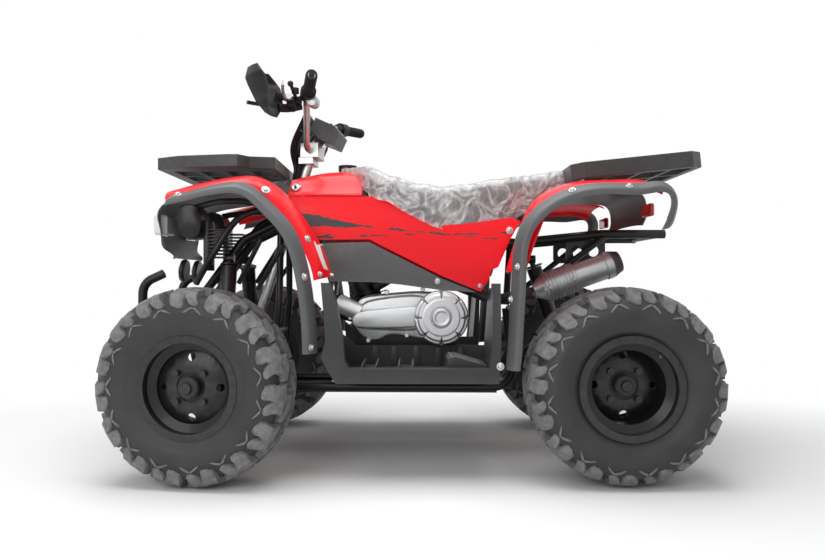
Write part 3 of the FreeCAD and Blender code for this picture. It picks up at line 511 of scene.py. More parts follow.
body_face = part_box("belt_cover")[1][1]
lower = rounded([(-0.180, 0.500), (-0.200, 0.455), (-0.178, 0.405), (-0.140, 0.378), (-0.105, 0.378),
                 (-0.078, 0.397), (-0.02, 0.392), (0.10, 0.368), (0.165, 0.400), (0.176, 0.455),
                 (0.15, 0.510),
                 (0.05, 0.538), (-0.09, 0.527), (-0.16, 0.520)], 2)
upper = rounded([(-0.172, 0.498), (-0.176, 0.420), (-0.120, 0.412), (0.04, 0.408), (0.06, 0.46),
                 (0.05, 0.530),
                 (-0.10, 0.518)], 2)
pod = rounded([(-0.186, 0.474), (-0.192, 0.424), (-0.150, 0.418), (0.03, 0.420), (0.05, 0.455), (0.03, 0.494),
               (-0.09, 0.483)], 2)
stack = [slab(lower, body_face, -0.188, 0.006, 0.004), slab(upper, -0.187, -0.203, 0.005, 0.006),
         slab(pod, -0.202, -0.216, 0.005, 0.003)]
stack.append(bar([(-0.236, -0.172, 0.500), (-0.205, -0.178, 0.484), (-0.165, -0.182, 0.466)], 0.029,
                 sides=28))
for x, z in ((-0.196, 0.452), (-0.140, 0.381), (-0.02, 0.397), (-0.082, 0.532), (0.03, 0.541)):
    stack.append(lathe([(0, 0), (0.0075, 0), (0.0075, 0.012), (0.0055, 0.0135), (0.0055, 0.019), (0, 0.019)],
                       (x, -0.176, z), (0, -1, 0), 12))
cover = add_piece("belt_cover_cast", join_meshes("belt_cover_cast", stack), cast_aluminium,
                  body_of("belt_cover"),
                  smooth=35)
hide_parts("belt_cover")


def cap_relief(radius, angle):
    """Height of the round cap: steps at set radii, each eased over a short ramp, less eight wedge notches
    at the rim."""
    steps = ((0.0830, 0.014), (0.0720, 0.006), (0.0560, 0.0015), (0.0330, -0.003), (0.0285, 0.010),
             (0.0190, -0.002))
    height = sum(rise / (1 + np.exp((radius - edge) / 0.0008)) for edge, rise in steps)
    turn = np.abs((angle / (2 * math.pi) * 8 + 0.5) % 1 - 0.5) / 8 * 2 * math.pi * radius
    wedge = np.clip((radius - 0.060) / 0.022, 0, 1) * 0.007
    return height - 0.012 * np.clip(1 - turn / np.maximum(wedge, 1e-5), 0, 1) * (radius > 0.060)


low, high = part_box("clutch_cover")
hub_x, hub_z = (low[0] + high[0]) / 2, (low[2] + high[2]) / 2
radius = np.concatenate([np.linspace(0, 0.0815, 90), np.linspace(0.082, 0.0845, 8)])[None, :]
angle = np.linspace(0, 2 * math.pi, 192, endpoint=False)[:, None]
depth = high[1] - cap_relief(radius, angle) - 0.004
rows = np.stack([hub_x + radius * np.cos(angle), depth, hub_z + radius * np.sin(angle)], axis=-1)
backing = np.stack([hub_x + 0.0845 * np.cos(angle), 0 * angle + high[1], hub_z + 0.0845 * np.sin(angle)],
                   axis=-1)
pole = np.stack([hub_x + 0 * angle, 0 * angle + high[1], hub_z + 0 * angle], axis=-1)
cap = surface("clutch_cap", np.concatenate([rows, backing, pole], axis=1), wrap_along=True)
piece = add_piece("clutch_cover_cast", join_meshes("clutch_cover_cast", [cap]), cast_aluminium,
                  body_of("clutch_cover"), smooth=40)
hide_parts("clutch_cover")


# ---------------------------------------------------------------------------
# Exhaust: silver can with a slotted heat shield clamped round its lower half, a riveted
# band at its rear and a black bevelled end cap. The header is black steel.

dark_steel = finish("dark_steel", (0.03, 0.03, 0.032), 0.45, shade=0.5, spread=0.2, grain=500, bump=0.15,
                    edge=(0.25, 0.25, 0.25), edge_strength=0.4)
pipework = smooth_shell("exhaust", silver_paint)
pipework.data.materials.append(dark_steel)
can_low = np.array((0.395, -0.260, 0.545))
can_high = np.array((0.600, -0.260, 0.6185))
can_axis = (can_high - can_low) / np.linalg.norm(can_high - can_low)
middles = np.empty(len(pipework.data.polygons) * 3)
pipework.data.polygons.foreach_get("center", middles)
middles = middles.reshape(-1, 3)
along = (middles - can_low) @ can_axis
header = (middles[:, 1] > -0.215) | (along < -0.031)
cap = along > np.linalg.norm(can_high - can_low) + 0.0002
pipework.data.polygons.foreach_set("material_index", (header | cap).astype(np.int32))


def shield_grid(reach, thickness):
    """Half sleeve round the can: its radius swells in nine rounded ribs along the can, with sunk slots
    between."""
    s = np.linspace(0, 1, 110)[:, None]
    turn = np.linspace(-0.62 * math.pi, 0.62 * math.pi, 60)[None, :]
    wave = np.clip(np.sin(s * 9 * 2 * math.pi) * 3, -1, 1)
    inside = np.clip((0.5 * math.pi - np.abs(turn)) * 6, 0, 1) * np.clip(np.minimum(s, 1 - s) * 30, 0, 1)
    radius = 0.0435 + thickness + 0.0020 * wave * inside
    up = np.cross(can_axis, (0.0, -1.0, 0.0))
    out = np.array((0.0, -1.0, 0.0))
    place = can_low + can_axis * 0.002 + s[..., None] * reach * can_axis
    return place + radius[..., None] * (np.cos(turn)[..., None] * out + np.sin(turn)[..., None] * up)


outer = shield_grid(0.098, 0.0015)
inner = shield_grid(0.098, 0.0)[:, ::-1]
sleeve = surface("heat_shield", np.concatenate([outer, inner], axis=1), wrap_across=True)
trim = [sleeve,
        lathe([(0.040, 0), (0.0415, 0.001), (0.0415, 0.020), (0.040, 0.021)], can_high - can_axis * 0.024,
                      can_axis, 48)]
for turn in np.linspace(0, 2 * math.pi, 10, endpoint=False):
    out = math.cos(turn) * np.array((0.0, -1.0, 0.0)) + math.sin(turn) * np.cross(can_axis, (0.0, -1.0, 0.0))
    trim.append(lathe([(0, -0.002), (0.0032, -0.002), (0.0028, 0.0012), (0, 0.002)],
                      can_high - can_axis * 0.014 + out * 0.0415, out, 10))
for share in (0.12, 0.9):
    trim.append(lathe([(0, -0.002), (0.006, -0.002), (0.006, 0.003), (0.0045, 0.006), (0, 0.006)],
                      can_low + can_axis * 0.098 * share + np.array((0, -0.0455, 0)), (0, -1, 0), 14))
add_piece("muffler_trim", join_meshes("muffler_trim", trim), silver_paint, body_of("exhaust"), smooth=40)


# ---------------------------------------------------------------------------
# Rubber, seat and lamps.

rubber = finish("rubber", (0.011, 0.011, 0.012), 0.62, shade=0.6, spread=0.15, grain=600, bump=0.3)
# Tyre rubber: the strong light grey on the lugs' sharp edges and tops is painted highlight.
tyre_rubber = finish("tyre_rubber", (0.04, 0.04, 0.042), 0.5, shade=0.9, spread=0.3, scale=14.0, grain=500,
                     bump=0.5,
                     edge=(0.32, 0.32, 0.32), edge_strength=0.9)
for name in ("grips", "control_cables"):
    smooth_shell(name, rubber)
seat_vinyl = finish("seat_vinyl", (0.05, 0.051, 0.055), 0.42, shade=0.5, spread=0.2, grain=420, bump=0.6)
cushion_mesh = nodes["seat"].data.copy()
points = np.empty(len(cushion_mesh.vertices) * 3)
cushion_mesh.vertices.foreach_get("co", points)
points = points.reshape(-1, 3)
middle = (points.min(axis=0) + points.max(axis=0)) / 2
cushion_mesh.vertices.foreach_set("co", (middle + (points - middle) * (0.985, 0.95, 0.95)).ravel())
cushion = add_piece("seat_cushion", cushion_mesh, seat_vinyl, body_of("seat"))
bpy.context.view_layer.objects.active = cushion
remesh = cushion.modifiers.new("even_skin", "REMESH")
remesh.mode = "VOXEL"
remesh.voxel_size = 0.009
bpy.ops.object.modifier_apply(modifier=remesh.name)
swell = cushion.modifiers.new("swell", "CLOTH")
swell.settings.use_pressure = True
swell.settings.uniform_pressure_force = 4.0
swell.settings.effector_weights.gravity = 0.0
before = np.empty(len(cushion.data.vertices) * 3)
cushion.data.vertices.foreach_get("co", before)
for step in range(1, 21):
    scene.frame_set(step)
swollen = cushion.evaluated_get(bpy.context.evaluated_depsgraph_get()).data
after = np.empty(len(before))
swollen.vertices.foreach_get("co", after)
move = (after - before).reshape(-1, 3)
far = np.linalg.norm(move, axis=1, keepdims=True)
move *= np.minimum(1.0, 0.005 / np.maximum(far, 1e-9))
cushion.modifiers.remove(swell)
cushion.data.vertices.foreach_set("co", (before.reshape(-1, 3) + move).ravel())
scene.frame_set(1)
finer = cushion.modifiers.new("finer", "SUBSURF")
finer.levels = finer.render_levels = 1
for polygon in cushion.data.polygons:
    polygon.use_smooth = True
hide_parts("seat")


# ---------------------------------------------------------------------------
# Shipping film over the seat: thin clear plastic, wrapped from the tank to the tail and
# tucked down both flanks, full of small sharp creases that catch the light.

film_stations = np.array([
    # x, top, lower edge, half width
    (-0.236, 0.936, 0.905, 0.075), (-0.190, 0.936, 0.880, 0.120), (-0.150, 0.932, 0.850, 0.178),
    (-0.110, 0.916, 0.820, 0.214), (-0.062, 0.894, 0.800, 0.219), (0.020, 0.872, 0.758, 0.221),
    (0.091, 0.862, 0.726, 0.223), (0.180, 0.872, 0.733, 0.222), (0.300, 0.893, 0.748, 0.214),
    (0.345, 0.897, 0.776, 0.2035), (0.430, 0.909, 0.824, 0.2035), (0.512, 0.922, 0.870, 0.2015),
    (0.536, 0.921, 0.884, 0.190)])


def creases(a, b, seed):
    """Height of crumpled film: the sharp crests of waves that run many ways and bend one another, summed."""
    turn = np.random.default_rng(seed).uniform(0, 2 * math.pi, (9, 4))
    height = 0 * a
    for k, (way, phase, bend, shift) in enumerate(turn):
        scale = 34 * 1.33 ** k
        warp = 0.9 * np.sin(scale * 0.4 * (a * math.sin(bend) + b * math.cos(bend)) + shift)
        wave = scale * (a * math.cos(way) + b * math.sin(way)) + phase + warp
        height = height + (1 - 2 * np.abs(np.sin(wave)) ** 0.6) / 1.28 ** k
    return height / 4.2


x = np.linspace(film_stations[0, 0], film_stations[-1, 0], 250)[:, None]
top, edge, half = (np.interp(x, film_stations[:, 0], film_stations[:, k]) for k in (1, 2, 3))
t = np.linspace(-1, 1, 190)[None, :]
bow = np.abs(t)
y = half * np.sign(t) * (1 - (1 - np.minimum(bow / 0.72, 1)) ** 1.9)
roll = np.clip((bow - 0.40) / 0.32, 0, 1)
fall = np.clip((bow - 0.72) / 0.28, 0, 1)
shoulder = np.minimum(0.052, 0.55 * (top - edge))
z = top - shoulder * roll ** 2.2 - (top - shoulder - edge) * fall
a, b = x + 0 * t, 0 * x + y + np.sign(t) * fall * 0.12
rise = creases(a, b, 4) * 0.0062 * np.clip((1 - bow) * 14 + 0.25, 0, 1)
ragged = creases(a * 0.6, 0 * b, 9) * 0.010 * fall
across = np.sign(t) * np.clip(roll * 0.9 + fall, 0, 1)
rows = np.stack([a, y + rise * across, z + ragged + 0.0035 + rise * (1 - 0.8 * np.abs(across))], axis=-1)
film_mesh = surface("seat_film", rows)

clear_film = bpy.data.materials.new("clear_film")
tree, add = node_tree(clear_film)
place = add("ShaderNodeTexCoord")
folds = add("ShaderNodeTexNoise",
            {"Vector": place.outputs["Object"], "Scale": 15.0, "Detail": 3.0, "Distortion": 1.2})
crest = add("ShaderNodeMath", {0: folds.outputs["Fac"], 1: 0.5}, operation="SUBTRACT")
crest = add("ShaderNodeMath", {0: crest.outputs[0]}, operation="ABSOLUTE")
# Along the noise's crest lines the film is paler and more opaque: painted highlight of the creases.
crease_highlight_opacity = add("ShaderNodeMapRange",
             {"Value": crest.outputs[0], "From Min": 0.0, "From Max": 0.10, "To Min": 0.78,
                                    "To Max": 0.50})
tint = add("ShaderNodeMapRange",
           {"Value": crest.outputs[0], "From Min": 0.0, "From Max": 0.10, "To Min": 0.62,
                                  "To Max": 0.40})
relief = add("ShaderNodeBump", {"Height": crest.outputs[0], "Strength": 0.5, "Distance": 0.004})
skin = add("ShaderNodeBsdfPrincipled",
           {"Base Color": tint.outputs[0], "Roughness": 0.16, "Alpha": crease_highlight_opacity.outputs[0],
                                        "Normal": relief.outputs[0], "Specular IOR Level": 0.8})
add("ShaderNodeOutputMaterial", {"Surface": skin.outputs[0]})
film = add_piece("seat_film", film_mesh, clear_film, body_of("seat"), smooth=180)


# ---------------------------------------------------------------------------
# Lamps: clear and red lenses at the corners of the nose and the tail.

lens = finish("lens", (0.75, 0.77, 0.8), 0.1, coat=0.5)
smooth_shell("headlights", lens)
red_lens = finish("red_lens", (0.5, 0.01, 0.01), 0.15, coat=0.5)
smooth_shell("tail_lights", red_lens)

# ---------------------------------------------------------------------------
# Tyres: mud pattern, tall angular lugs in left and right rows that point the way the
# tyre rolls, short shoulder blocks between them, arrow ribs low on the shoulder.

def tyre_section(radius, half, share):
    """Half section of the carcass: share 0 is the middle of the tread, 1 the bead. Gives radius, distance
    across and the outward normal in that plane, by linear steps along the section's own length."""
    line = np.array([(radius - 19.0, 0.0), (radius - 19.5, half * 0.35), (radius - 22.0, half * 0.60),
                     (radius - 28.0, half * 0.76), (radius - 40.0, half * 0.87),
                     (radius - 54.0, half * 0.945),
                     (radius - 68.0, half * 0.985), (radius - 88.0, half * 0.965),
                     (radius - 106.0, half * 0.91),
                     (radius - 122.0, half * 0.83), (radius - 133.0, half * 0.79)])
    steps = np.hypot(*np.diff(line, axis=0).T)
    along = np.concatenate([[0.0], np.cumsum(steps)]) / steps.sum()
    r = np.interp(share, along, line[:, 0])
    w = np.interp(share, along, line[:, 1])
    ahead = np.clip(share + 0.02, 0, 1)
    behind = np.clip(share - 0.02, 0, 1)
    dr = np.interp(ahead, along, line[:, 0]) - np.interp(behind, along, line[:, 0])
    dw = np.interp(ahead, along, line[:, 1]) - np.interp(behind, along, line[:, 1])
    size = np.hypot(dr, dw)
    return r, w, dw / size, -dr / size


def lugs(radius, half, side, pitches, offset, shares, lead, width, height, turn):
    """Closed blocks on the carcass, one each pitch: at each share of the section the block's middle runs
    ahead by lead and it is width wide, both in pitches, and it stands height above the carcass, narrower
    at its top."""
    pitch = 2 * math.pi / pitches
    start = (np.arange(pitches) + offset)[:, None] * pitch
    r, w, nr, nw = tyre_section(radius, half, np.array(shares))
    middle = start + np.array(lead) * pitch * turn
    reach = np.array(width) * pitch / 2
    rise = np.array(height)
    ring = []
    for edge, lift in ((-1.0, -2.0), (-0.78, 1.0), (0.78, 1.0), (1.0, -2.0)):
        up = rise if lift > 0 else lift
        angle = middle + reach * edge
        rr = r + nr * up
        ww = (w + nw * up) * side
        ring.append(np.stack([rr * np.cos(angle), np.broadcast_to(ww, angle.shape), rr * np.sin(angle)],
                             axis=-1))
    blocks = np.stack(ring, axis=2)
    meshes = []
    count = len(shares)
    for block in blocks:
        mesh = bpy.data.meshes.new("lug")
        faces = [(i * 4 + k, i * 4 + (k + 1) % 4, i * 4 + 4 + (k + 1) % 4, i * 4 + 4 + k)
                 for i in range(count - 1) for k in range(4)]
        faces += [(0, 1, 2, 3), tuple(count * 4 - 4 + k for k in (3, 2, 1, 0))]
        mesh.from_pydata(block.reshape(-1, 3).tolist(), [], faces)
        meshes.append(mesh)
    return meshes


def mud_tyre(radius, half, pitches):
    """Carcass and lugs about the Y axis, in millimetres."""
    share = np.concatenate([np.linspace(-1, 1, 61)])
    r, w, nr, nw = tyre_section(radius, half, np.abs(share))
    ribs = 1.3 * np.exp(-((np.abs(share) - 0.80) / 0.012) ** 2)
    ribs = ribs + 1.6 * np.exp(-((np.abs(share) - 0.93) / 0.015) ** 2)
    ribs += 1.0 * np.exp(-((np.abs(share) - 0.62) / 0.01) ** 2)
    r = r + nr * ribs
    w = (w + nw * ribs) * np.sign(share)
    inner = np.array([(radius - 140.0, half * 0.76), (radius - 140.0, -half * 0.76)])
    r = np.concatenate([r, inner[:, 0]])
    w = np.concatenate([w, inner[:, 1]])
    angle = np.linspace(0, 2 * math.pi, 144, endpoint=False)[:, None]
    rows = np.stack([r * np.cos(angle), w + 0 * angle, r * np.sin(angle)], axis=-1)
    parts = [surface("carcass", rows, wrap_across=True, wrap_along=True)]
    for side, offset in ((-1, 0.0), (1, 0.5)):
        parts += lugs(radius, half, side, pitches, offset, (0.01, 0.10, 0.19, 0.25),
                      (0.66, 0.56, 0.38, 0.30), (0.40, 0.46, 0.44, 0.26), (18.0, 18.0, 17.5, 16.0), 1)
        parts += lugs(radius, half, side, pitches, offset, (0.20, 0.30, 0.38, 0.45, 0.52, 0.57),
                      (-0.06, -0.16, -0.10, -0.04, -0.06, -0.12), (0.50, 0.56, 0.54, 0.46, 0.44, 0.20),
                      (17.5, 17.0, 15.0, 11.0, 7.0, 3.0), 1)
        parts += lugs(radius, half, side, pitches, offset + 0.5, (0.27, 0.35, 0.42, 0.49, 0.53),
                      (0.02, 0.10, 0.06, -0.03, -0.05), (0.34, 0.38, 0.36, 0.34, 0.12),
                      (17.0, 16.0, 13.0, 8.0, 3.0), 1)
        for way in (-1, 1):
            parts += lugs(radius, half, side, pitches, offset + 0.5, (0.555, 0.595, 0.635),
                          (-0.05 + way * 0.02, -0.05 + way * 0.15, -0.05 + way * 0.28), (0.12, 0.12, 0.08),
                          (4.0, 3.6, 1.6), 1)
    return join_meshes("mud_tyre", parts)


def seat_wheel(mesh, centre, turn):
    """Scale a wheel piece drawn in millimetres about Y to metres, turn it about Z and put it on its
    centre."""
    points = np.empty(len(mesh.vertices) * 3)
    mesh.vertices.foreach_get("co", points)
    points = points.reshape(-1, 3) / 1000
    c, s = math.cos(turn), math.sin(turn)
    points = points @ np.array([[c, s, 0], [-s, c, 0], [0, 0, 1]]) + np.array(centre)
    mesh.vertices.foreach_set("co", points.ravel())
    mesh.update()


steer = math.radians(-8.0)
for side, name in ((-1, "left"), (1, "right")):
    for place, body in (("front_tyre_", "front_wheel_"), ("rear_tyre_", "rear_axle")):
        front = place.startswith("front")
        low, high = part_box(place + name)
        centre = (np.array(low) + np.array(high)) / 2
        mesh = mud_tyre(276.0, 90.0 if front else 125.0, 15 if front else 16)
        seat_wheel(mesh, centre, steer if front else 0.0)
        piece = add_piece(place + name + "_treaded", mesh, tyre_rubber, body + name if front else body,
                          smooth=38)
        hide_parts(place + name)


# ---------------------------------------------------------------------------
# Fasteners: zinc dome screws on flanged washers hold the flares, fenders and footwells,
# and plain ones hold the grey panels.

def skin_of(*names):
    """Search tree over the faces of some CAD nodes."""
    corners, faces, start = [], [], 0
    for name in names:
        mesh = nodes[name].data
        corners += [tuple(vertex.co) for vertex in mesh.vertices]
        faces += [tuple(start + corner for corner in polygon.vertices) for polygon in mesh.polygons]
        start = len(corners)
    return BVHTree.FromPolygons(corners, faces)


flank_skin = skin_of("front_flares", "rear_flares", "front_fender", "rear_fender", "footwell_left",
                     "footwell_right",
                     "side_panels", "lower_panels", "tank_cover")


def on_flank(x, z, side):
    """Point and outward direction where a line across the quad meets its bodywork, or the nearest edge
    beside it."""
    point, normal, _, _ = flank_skin.ray_cast(Vector((x, side * 1.2, z)), Vector((0, -side, 0)))
    if point is None or abs(point[1]) < 0.1:
        point, normal, _, _ = flank_skin.find_nearest(Vector((x, side * 0.465, z)))
    normal = np.array(normal)
    return np.array(point), normal * np.sign(normal[1] * side)


def screw(x, z, side, size):
    """Domed head on a wide washer with a cross slot ring, square to the panel."""
    place, out = on_flank(x, z, side)
    profile = [(0, -0.002), (1.0, -0.002), (1.0, 0.0012), (0.92, 0.002), (0.62, 0.002), (0.6, 0.0055),
               (0.45, 0.0075),
               (0.2, 0.0080), (0.18, 0.0066), (0, 0.0066)]
    return lathe([(radius * size, along) for radius, along in profile], place, out, 20)


heads = []
for side in (-1, 1):
    for x, z, size in ((-0.652, 0.806, 0.011), (-0.414, 0.823, 0.012), (-0.298, 0.686, 0.011),
                       (-0.284, 0.581, 0.011),
                       (-0.266, 0.384, 0.011), (0.296, 0.722, 0.011), (0.440, 0.818, 0.011),
                       (0.596, 0.829, 0.010),
                       (0.268, 0.606, 0.011), (0.272, 0.515, 0.011), (0.246, 0.330, 0.011),
                       (-0.240, 0.583, 0.009),
                       (0.075, 0.566, 0.009), (-0.262, 0.586, 0.008), (0.206, 0.552, 0.007)):
        heads.append(screw(x, z, side, size))
add_piece("panel_screws", join_meshes("panel_screws", heads), zinc, "chassis", smooth=30)

label = []
for side in (-1,):
    s_along = np.linspace(0, 1, 16)
    edge_a = [on_flank(-0.284 + 0.030 * u, 0.680 - 0.078 * u, side) for u in s_along]
    edge_b = [on_flank(-0.273 + 0.028 * u, 0.676 - 0.078 * u, side) for u in s_along]
    rows = np.array([[p + n * 0.0008, q + m * 0.0008] for (p, n), (q, m) in zip(edge_a, edge_b)])
    label.append(surface("label", rows))
blank_label = finish("blank_label", (0.78, 0.78, 0.76), 0.45, shade=0.08, grain=300, bump=0.05)
strip = add_piece("blank_strip", join_meshes("blank_strip", label), blank_label, "chassis")
thick = strip.modifiers.new("thick", "SOLIDIFY")
thick.thickness = 0.0006
thick.offset = 0


# ---------------------------------------------------------------------------
# Ignition lock: a chromed ring on the left of the tank with its key hanging in it.

place, out = on_flank(-0.370, 0.862, -1)
ring = [(0.0, -0.004), (0.0165, -0.004), (0.0165, 0.004), (0.0135, 0.007), (0.0115, 0.0045), (0.0, 0.0045)]
add_piece("ignition_lock", join_meshes("ignition_lock", [lathe(ring, place, out, 32)]), zinc, "chassis",
          smooth=30)
key = place + out * 0.010
parts = [bar([key, key + (0.001, -0.002, -0.020), key + (0.002, -0.002, -0.036)], 0.004),
         bar([key + (-0.013, -0.004, -0.036), key + (0.002, -0.004, -0.0375), key + (0.016, -0.004, -0.036)],
             0.005),
         bar([key + (0.002, -0.004, -0.036), key + (0.003, -0.004, -0.058)], 0.0022)]
add_piece("ignition_key", join_meshes("ignition_key", parts), black_plastic, "chassis", smooth=40)


# ---------------------------------------------------------------------------
# Bar ends and controls: deep black hand shields on brackets, ribbed grips, brake levers,
# a switch box and a fluid reservoir, and the sleeve that gathers the cables.

column_foot = np.array((-0.560, 0.0, 0.330))
column_way = np.array((-0.341, 0.0, 1.000)) - column_foot
column_way /= np.linalg.norm(column_way)


def with_bars(mesh, degrees=-8.0):
    """Turn a piece drawn with the bars straight about the steering column to the parked angle."""
    points = np.empty(len(mesh.vertices) * 3)
    mesh.vertices.foreach_get("co", points)
    offset = points.reshape(-1, 3) - column_foot
    turn = math.radians(degrees)
    cross = np.cross(column_way, offset)
    moved = (offset * math.cos(turn) + cross * math.sin(turn)
             + np.outer(offset @ column_way, column_way) * (1 - math.cos(turn)))
    mesh.vertices.foreach_set("co", (moved + column_foot).ravel())
    mesh.update()
    return mesh


def hand_shield(side):
    """Shield in front of a grip: its front line leans back as it drops, and its two ends sweep towards the
    rider with the square of the distance across. Two sheets 3 mm apart, closed at their edges."""
    rise = np.linspace(0, 1, 26)[:, None]
    t = np.linspace(-1, 1, 34)[None, :]
    z = 1.058 + 0.140 * rise
    front = np.interp(rise, (0, 0.25, 0.6, 0.75, 1.0), (-0.402, -0.434, -0.460, -0.468, -0.460))
    back = np.interp(rise, (0, 0.35, 0.7, 1.0), (-0.388, -0.378, -0.388, -0.420))
    half = np.interp(rise, (0, 0.2, 0.8, 1.0), (0.040, 0.062, 0.070, 0.050))
    x = front + (back - front) * np.abs(t) ** 2.2 + 0 * z
    y = side * (0.285 + half * t)
    fold = 0.004 * np.exp(-((t - 0.35) / 0.08) ** 2)
    outer = np.stack([x - fold, y + 0 * x, z + 0 * x], axis=-1)
    inner = outer + (0.0032, 0, 0)
    ring = np.concatenate([outer, inner[:, ::-1]], axis=1)
    shell = surface("shield", ring, wrap_across=True)
    caps = [surface("rim", np.stack([outer[k], inner[k]])) for k in (0, -1)]
    return [with_bars(part) for part in [shell] + caps]


shields = []
for side in (-1, 1):
    shields += hand_shield(side)
piece = add_piece("hand_shields", join_meshes("hand_shields", shields), black_plastic, "steering", smooth=50)
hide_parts("hand_guards")

clutter, bright = [], []
for side in (-1, 1):
    clutter.append(with_bars(bar([(-0.385, side * 0.232, 1.092), (-0.362, side * 0.205, 1.098),
                                  (-0.330, side * 0.178, 1.112)], 0.0085, flat=1.6)))
    clutter.append(with_bars(bar([(-0.392, side * 0.240, 1.135), (-0.360, side * 0.214, 1.124),
                                  (-0.322, side * 0.196, 1.122)], 0.006, flat=1.8)))
    clutter.append(with_bars(bar([(-0.350, side * 0.226, 1.108), (-0.352, side * 0.190, 1.100)], 0.013)))
    clutter.append(with_bars(bar([(-0.338, side * 0.215, 1.140), (-0.338, side * 0.215, 1.156)], 0.012)))
    bright.append(with_bars(bar([(-0.352, side * 0.236, 1.126), (-0.354, side * 0.208, 1.122)], 0.010)))
    bright.append(with_bars(bar([(-0.362, side * 0.238, 1.118), (-0.350, side * 0.300, 1.121),
                                 (-0.334, side * 0.352, 1.130)], 0.0045, flat=1.9)))
    for step in range(14):
        outward = np.array((-0.247, side * 0.352, 1.151))
        inward = (np.array((-0.315, side * 0.170, 1.128)) - outward) / 0.196
        at_rib = outward + inward * (0.008 + 0.0072 * step)
        ring = [(0.0160, 0.0), (0.0178, 0.0008), (0.0178, 0.0034), (0.0160, 0.0042)]
        clutter.append(with_bars(lathe(ring, at_rib, inward, 24)))
switch = slab(rounded([(-0.300, 1.098), (-0.268, 1.092), (-0.262, 1.122), (-0.286, 1.142), (-0.300, 1.136)],
                      2),
              -0.196, -0.232, 0.003)
bright.append(with_bars(switch))
for start, spread in (((-0.352, -0.070, 1.080), 0.0), ((-0.346, 0.060, 1.085), 0.010),
                      ((-0.330, -0.130, 1.095), -0.008),
                      ((-0.340, 0.120, 1.095), 0.006)):
    clutter.append(with_bars(bar([start, (-0.392, start[1] * 0.45 + spread, 1.010), (-0.398, spread, 0.945),
                                  (-0.402, spread * 0.8, 0.886)], 0.0062)))
clutter.append(with_bars(bar([(-0.362, 0.0, 1.066), (-0.385, 0.0, 1.010), (-0.388, 0.0, 0.950),
                              (-0.396, 0.0, 0.900)],
                             0.017, sides=16)))
add_piece("bar_fittings", join_meshes("bar_fittings", clutter), rubber, "steering", smooth=45)
add_piece("bar_bright_parts", join_meshes("bar_bright_parts", bright), silver_paint, "steering", smooth=45)

clamp = []
for x, y in ((-0.352, -0.030), (-0.330, -0.030), (-0.352, 0.030), (-0.330, 0.030)):
    clamp.append(with_bars(lathe([(0, 0.0), (0.0055, 0.0), (0.0055, 0.006), (0.003, 0.007), (0, 0.007)],
                                 (x, y, 1.0255), (0, 0, 1), 12)))
add_piece("clamp_bolts", join_meshes("clamp_bolts", clamp), zinc, "steering", smooth=30)


# ---------------------------------------------------------------------------
# Footwell fittings: sprung cleats on the floor, a heel rest with ribbed pad, and the
# pressed ribs of the inner wall.

pads, ribs = [], []
for side in (-1, 1):
    for x in (-0.150, -0.045):
        for edge in (0.0, 0.040):
            leg = rounded([(x + edge - 0.003, 0.304), (x + edge + 0.003, 0.304), (x + edge + 0.007, 0.330),
                           (x + edge + 0.002, 0.330)], 1)
            pads.append(slab(leg, side * 0.225, side * 0.398, 0.001))
    for step in range(6):
        x = 0.104 + 0.017 * step
        z = 0.3485 - 0.00022 * (x - 0.104) * 1000 * 1.3
        pads.append(slab(np.array([(x, z - 0.004), (x + 0.010, z - 0.006), (x + 0.010, z + 0.003),
                                   (x, z + 0.005)]),
                         side * 0.262, side * 0.392, 0.001))
    for x in (-0.120, -0.060, 0.010, 0.080, 0.150):
        ribs.append(slab(rounded([(x - 0.012, 0.301), (x + 0.012, 0.301), (x + 0.010, 0.362),
                                  (x - 0.010, 0.362)], 1),
                         side * 0.174, side * 0.181, 0.002))
add_piece("foot_pads", join_meshes("foot_pads", pads), grey_plastic, "chassis", smooth=35)
add_piece("footwell_ribs", join_meshes("footwell_ribs", ribs), charcoal_plastic, "chassis", smooth=35)


# ---------------------------------------------------------------------------
# Under the nose: the battery box, the finned regulator, the horn and their brackets, all
# black, hung from the top rails behind the cowl.

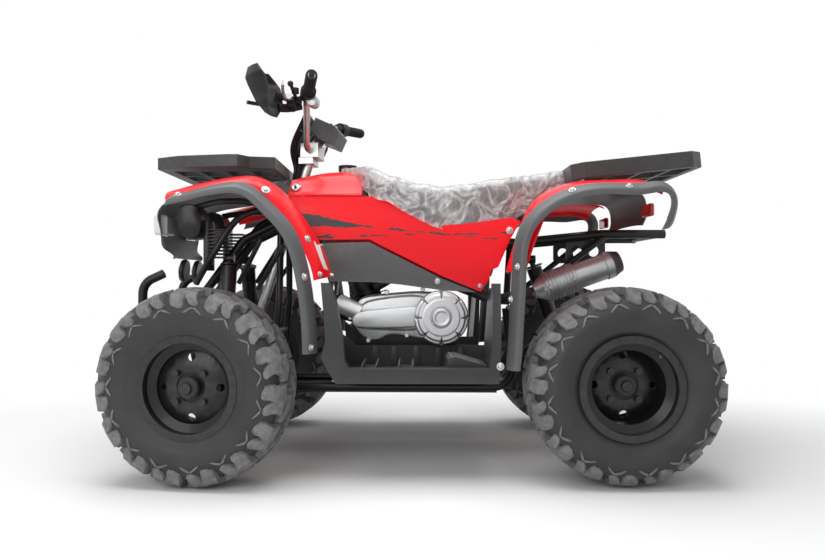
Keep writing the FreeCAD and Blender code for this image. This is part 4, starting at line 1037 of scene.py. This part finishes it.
block = []
for side in (-1, 1):
    block.append(slab(rounded([(-0.735, 0.700), (-0.665, 0.700), (-0.665, 0.790), (-0.700, 0.812),
                               (-0.742, 0.800)], 2),
                      side * 0.090, side * 0.190, 0.004))
    for step in range(9):
        z = 0.640 + 0.011 * step
        block.append(slab(np.array([(-0.655, z), (-0.600, z), (-0.600, z + 0.005), (-0.655, z + 0.005)]),
                          side * 0.088, side * 0.150, 0.001))
    block.append(slab(np.array([(-0.668, 0.600), (-0.650, 0.600), (-0.650, 0.760), (-0.668, 0.760)]),
                      side * 0.086, side * 0.152, 0.002))
    block.append(bar([(-0.700, side * 0.120, 0.560), (-0.640, side * 0.165, 0.640),
                      (-0.560, side * 0.160, 0.760),
                      (-0.470, side * 0.150, 0.800)], 0.011))
    block.append(bar([(-0.690, side * 0.160, 0.800), (-0.600, side * 0.190, 0.815),
                      (-0.500, side * 0.190, 0.812),
                      (-0.420, side * 0.185, 0.775), (-0.340, side * 0.188, 0.660)], 0.010))
    block.append(bar([(-0.560, side * 0.130, 0.560), (-0.480, side * 0.170, 0.700)], 0.008))
    block.append(bar([(-0.500, side * 0.125, 0.540), (-0.410, side * 0.170, 0.680)], 0.008))
    block.append(lathe([(0, 0), (0.034, 0), (0.038, 0.006), (0.036, 0.016), (0.012, 0.026), (0, 0.026)],
                       (-0.745, side * 0.07, 0.600), (-1, 0, 0.1), 28))
add_piece("nose_fittings", join_meshes("nose_fittings", block), black_steel, "chassis", smooth=40)


# ---------------------------------------------------------------------------
# Wheel trim: a small black cap and a grey nut at each hub, and a valve in each rim.

for side, name in ((-1, "left"), (1, "right")):
    for place, body in (("front_hub_", "front_wheel_"), ("rear_rim_", "rear_axle")):
        front = place.startswith("front")
        low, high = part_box(place + name)
        centre = (np.array(low) + np.array(high)) / 2
        turn = math.radians(-8.0) if front else 0.0
        out = side * np.array((-math.sin(turn), math.cos(turn), 0.0))
        tyre_low, tyre_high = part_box(("front_tyre_" if front else "rear_tyre_") + name)
        middle = (np.array(tyre_low) + np.array(tyre_high)) / 2
        face = (0.073 - 0.034 if front else 0.111 - 0.088) + 0.0165
        seat = middle + out * face
        cap = [(0, -0.001), (0.0285, -0.001), (0.0285, 0.006), (0.026, 0.009), (0.016, 0.009),
               (0.0155, 0.013),
               (0.013, 0.019), (0.006, 0.020), (0, 0.020)]
        rim_radius = 0.118
        along = np.array((math.cos(0.9), 0.0, math.sin(0.9))) * rim_radius
        along = np.array((along[0] * math.cos(turn), along[0] * math.sin(turn), along[2]))
        valve = bar([middle + along + out * (0.066 if front else 0.104),
                     middle + along * 0.96 + out * (0.080 if front else 0.118)],
                    0.004)
        wheel = join_meshes("hub_trim", [lathe(cap, seat, out, 36), valve])
        add_piece(("front" if front else "rear") + "_hub_trim_" + name, wheel, dark_steel,
                  body + name if front else body, smooth=30)
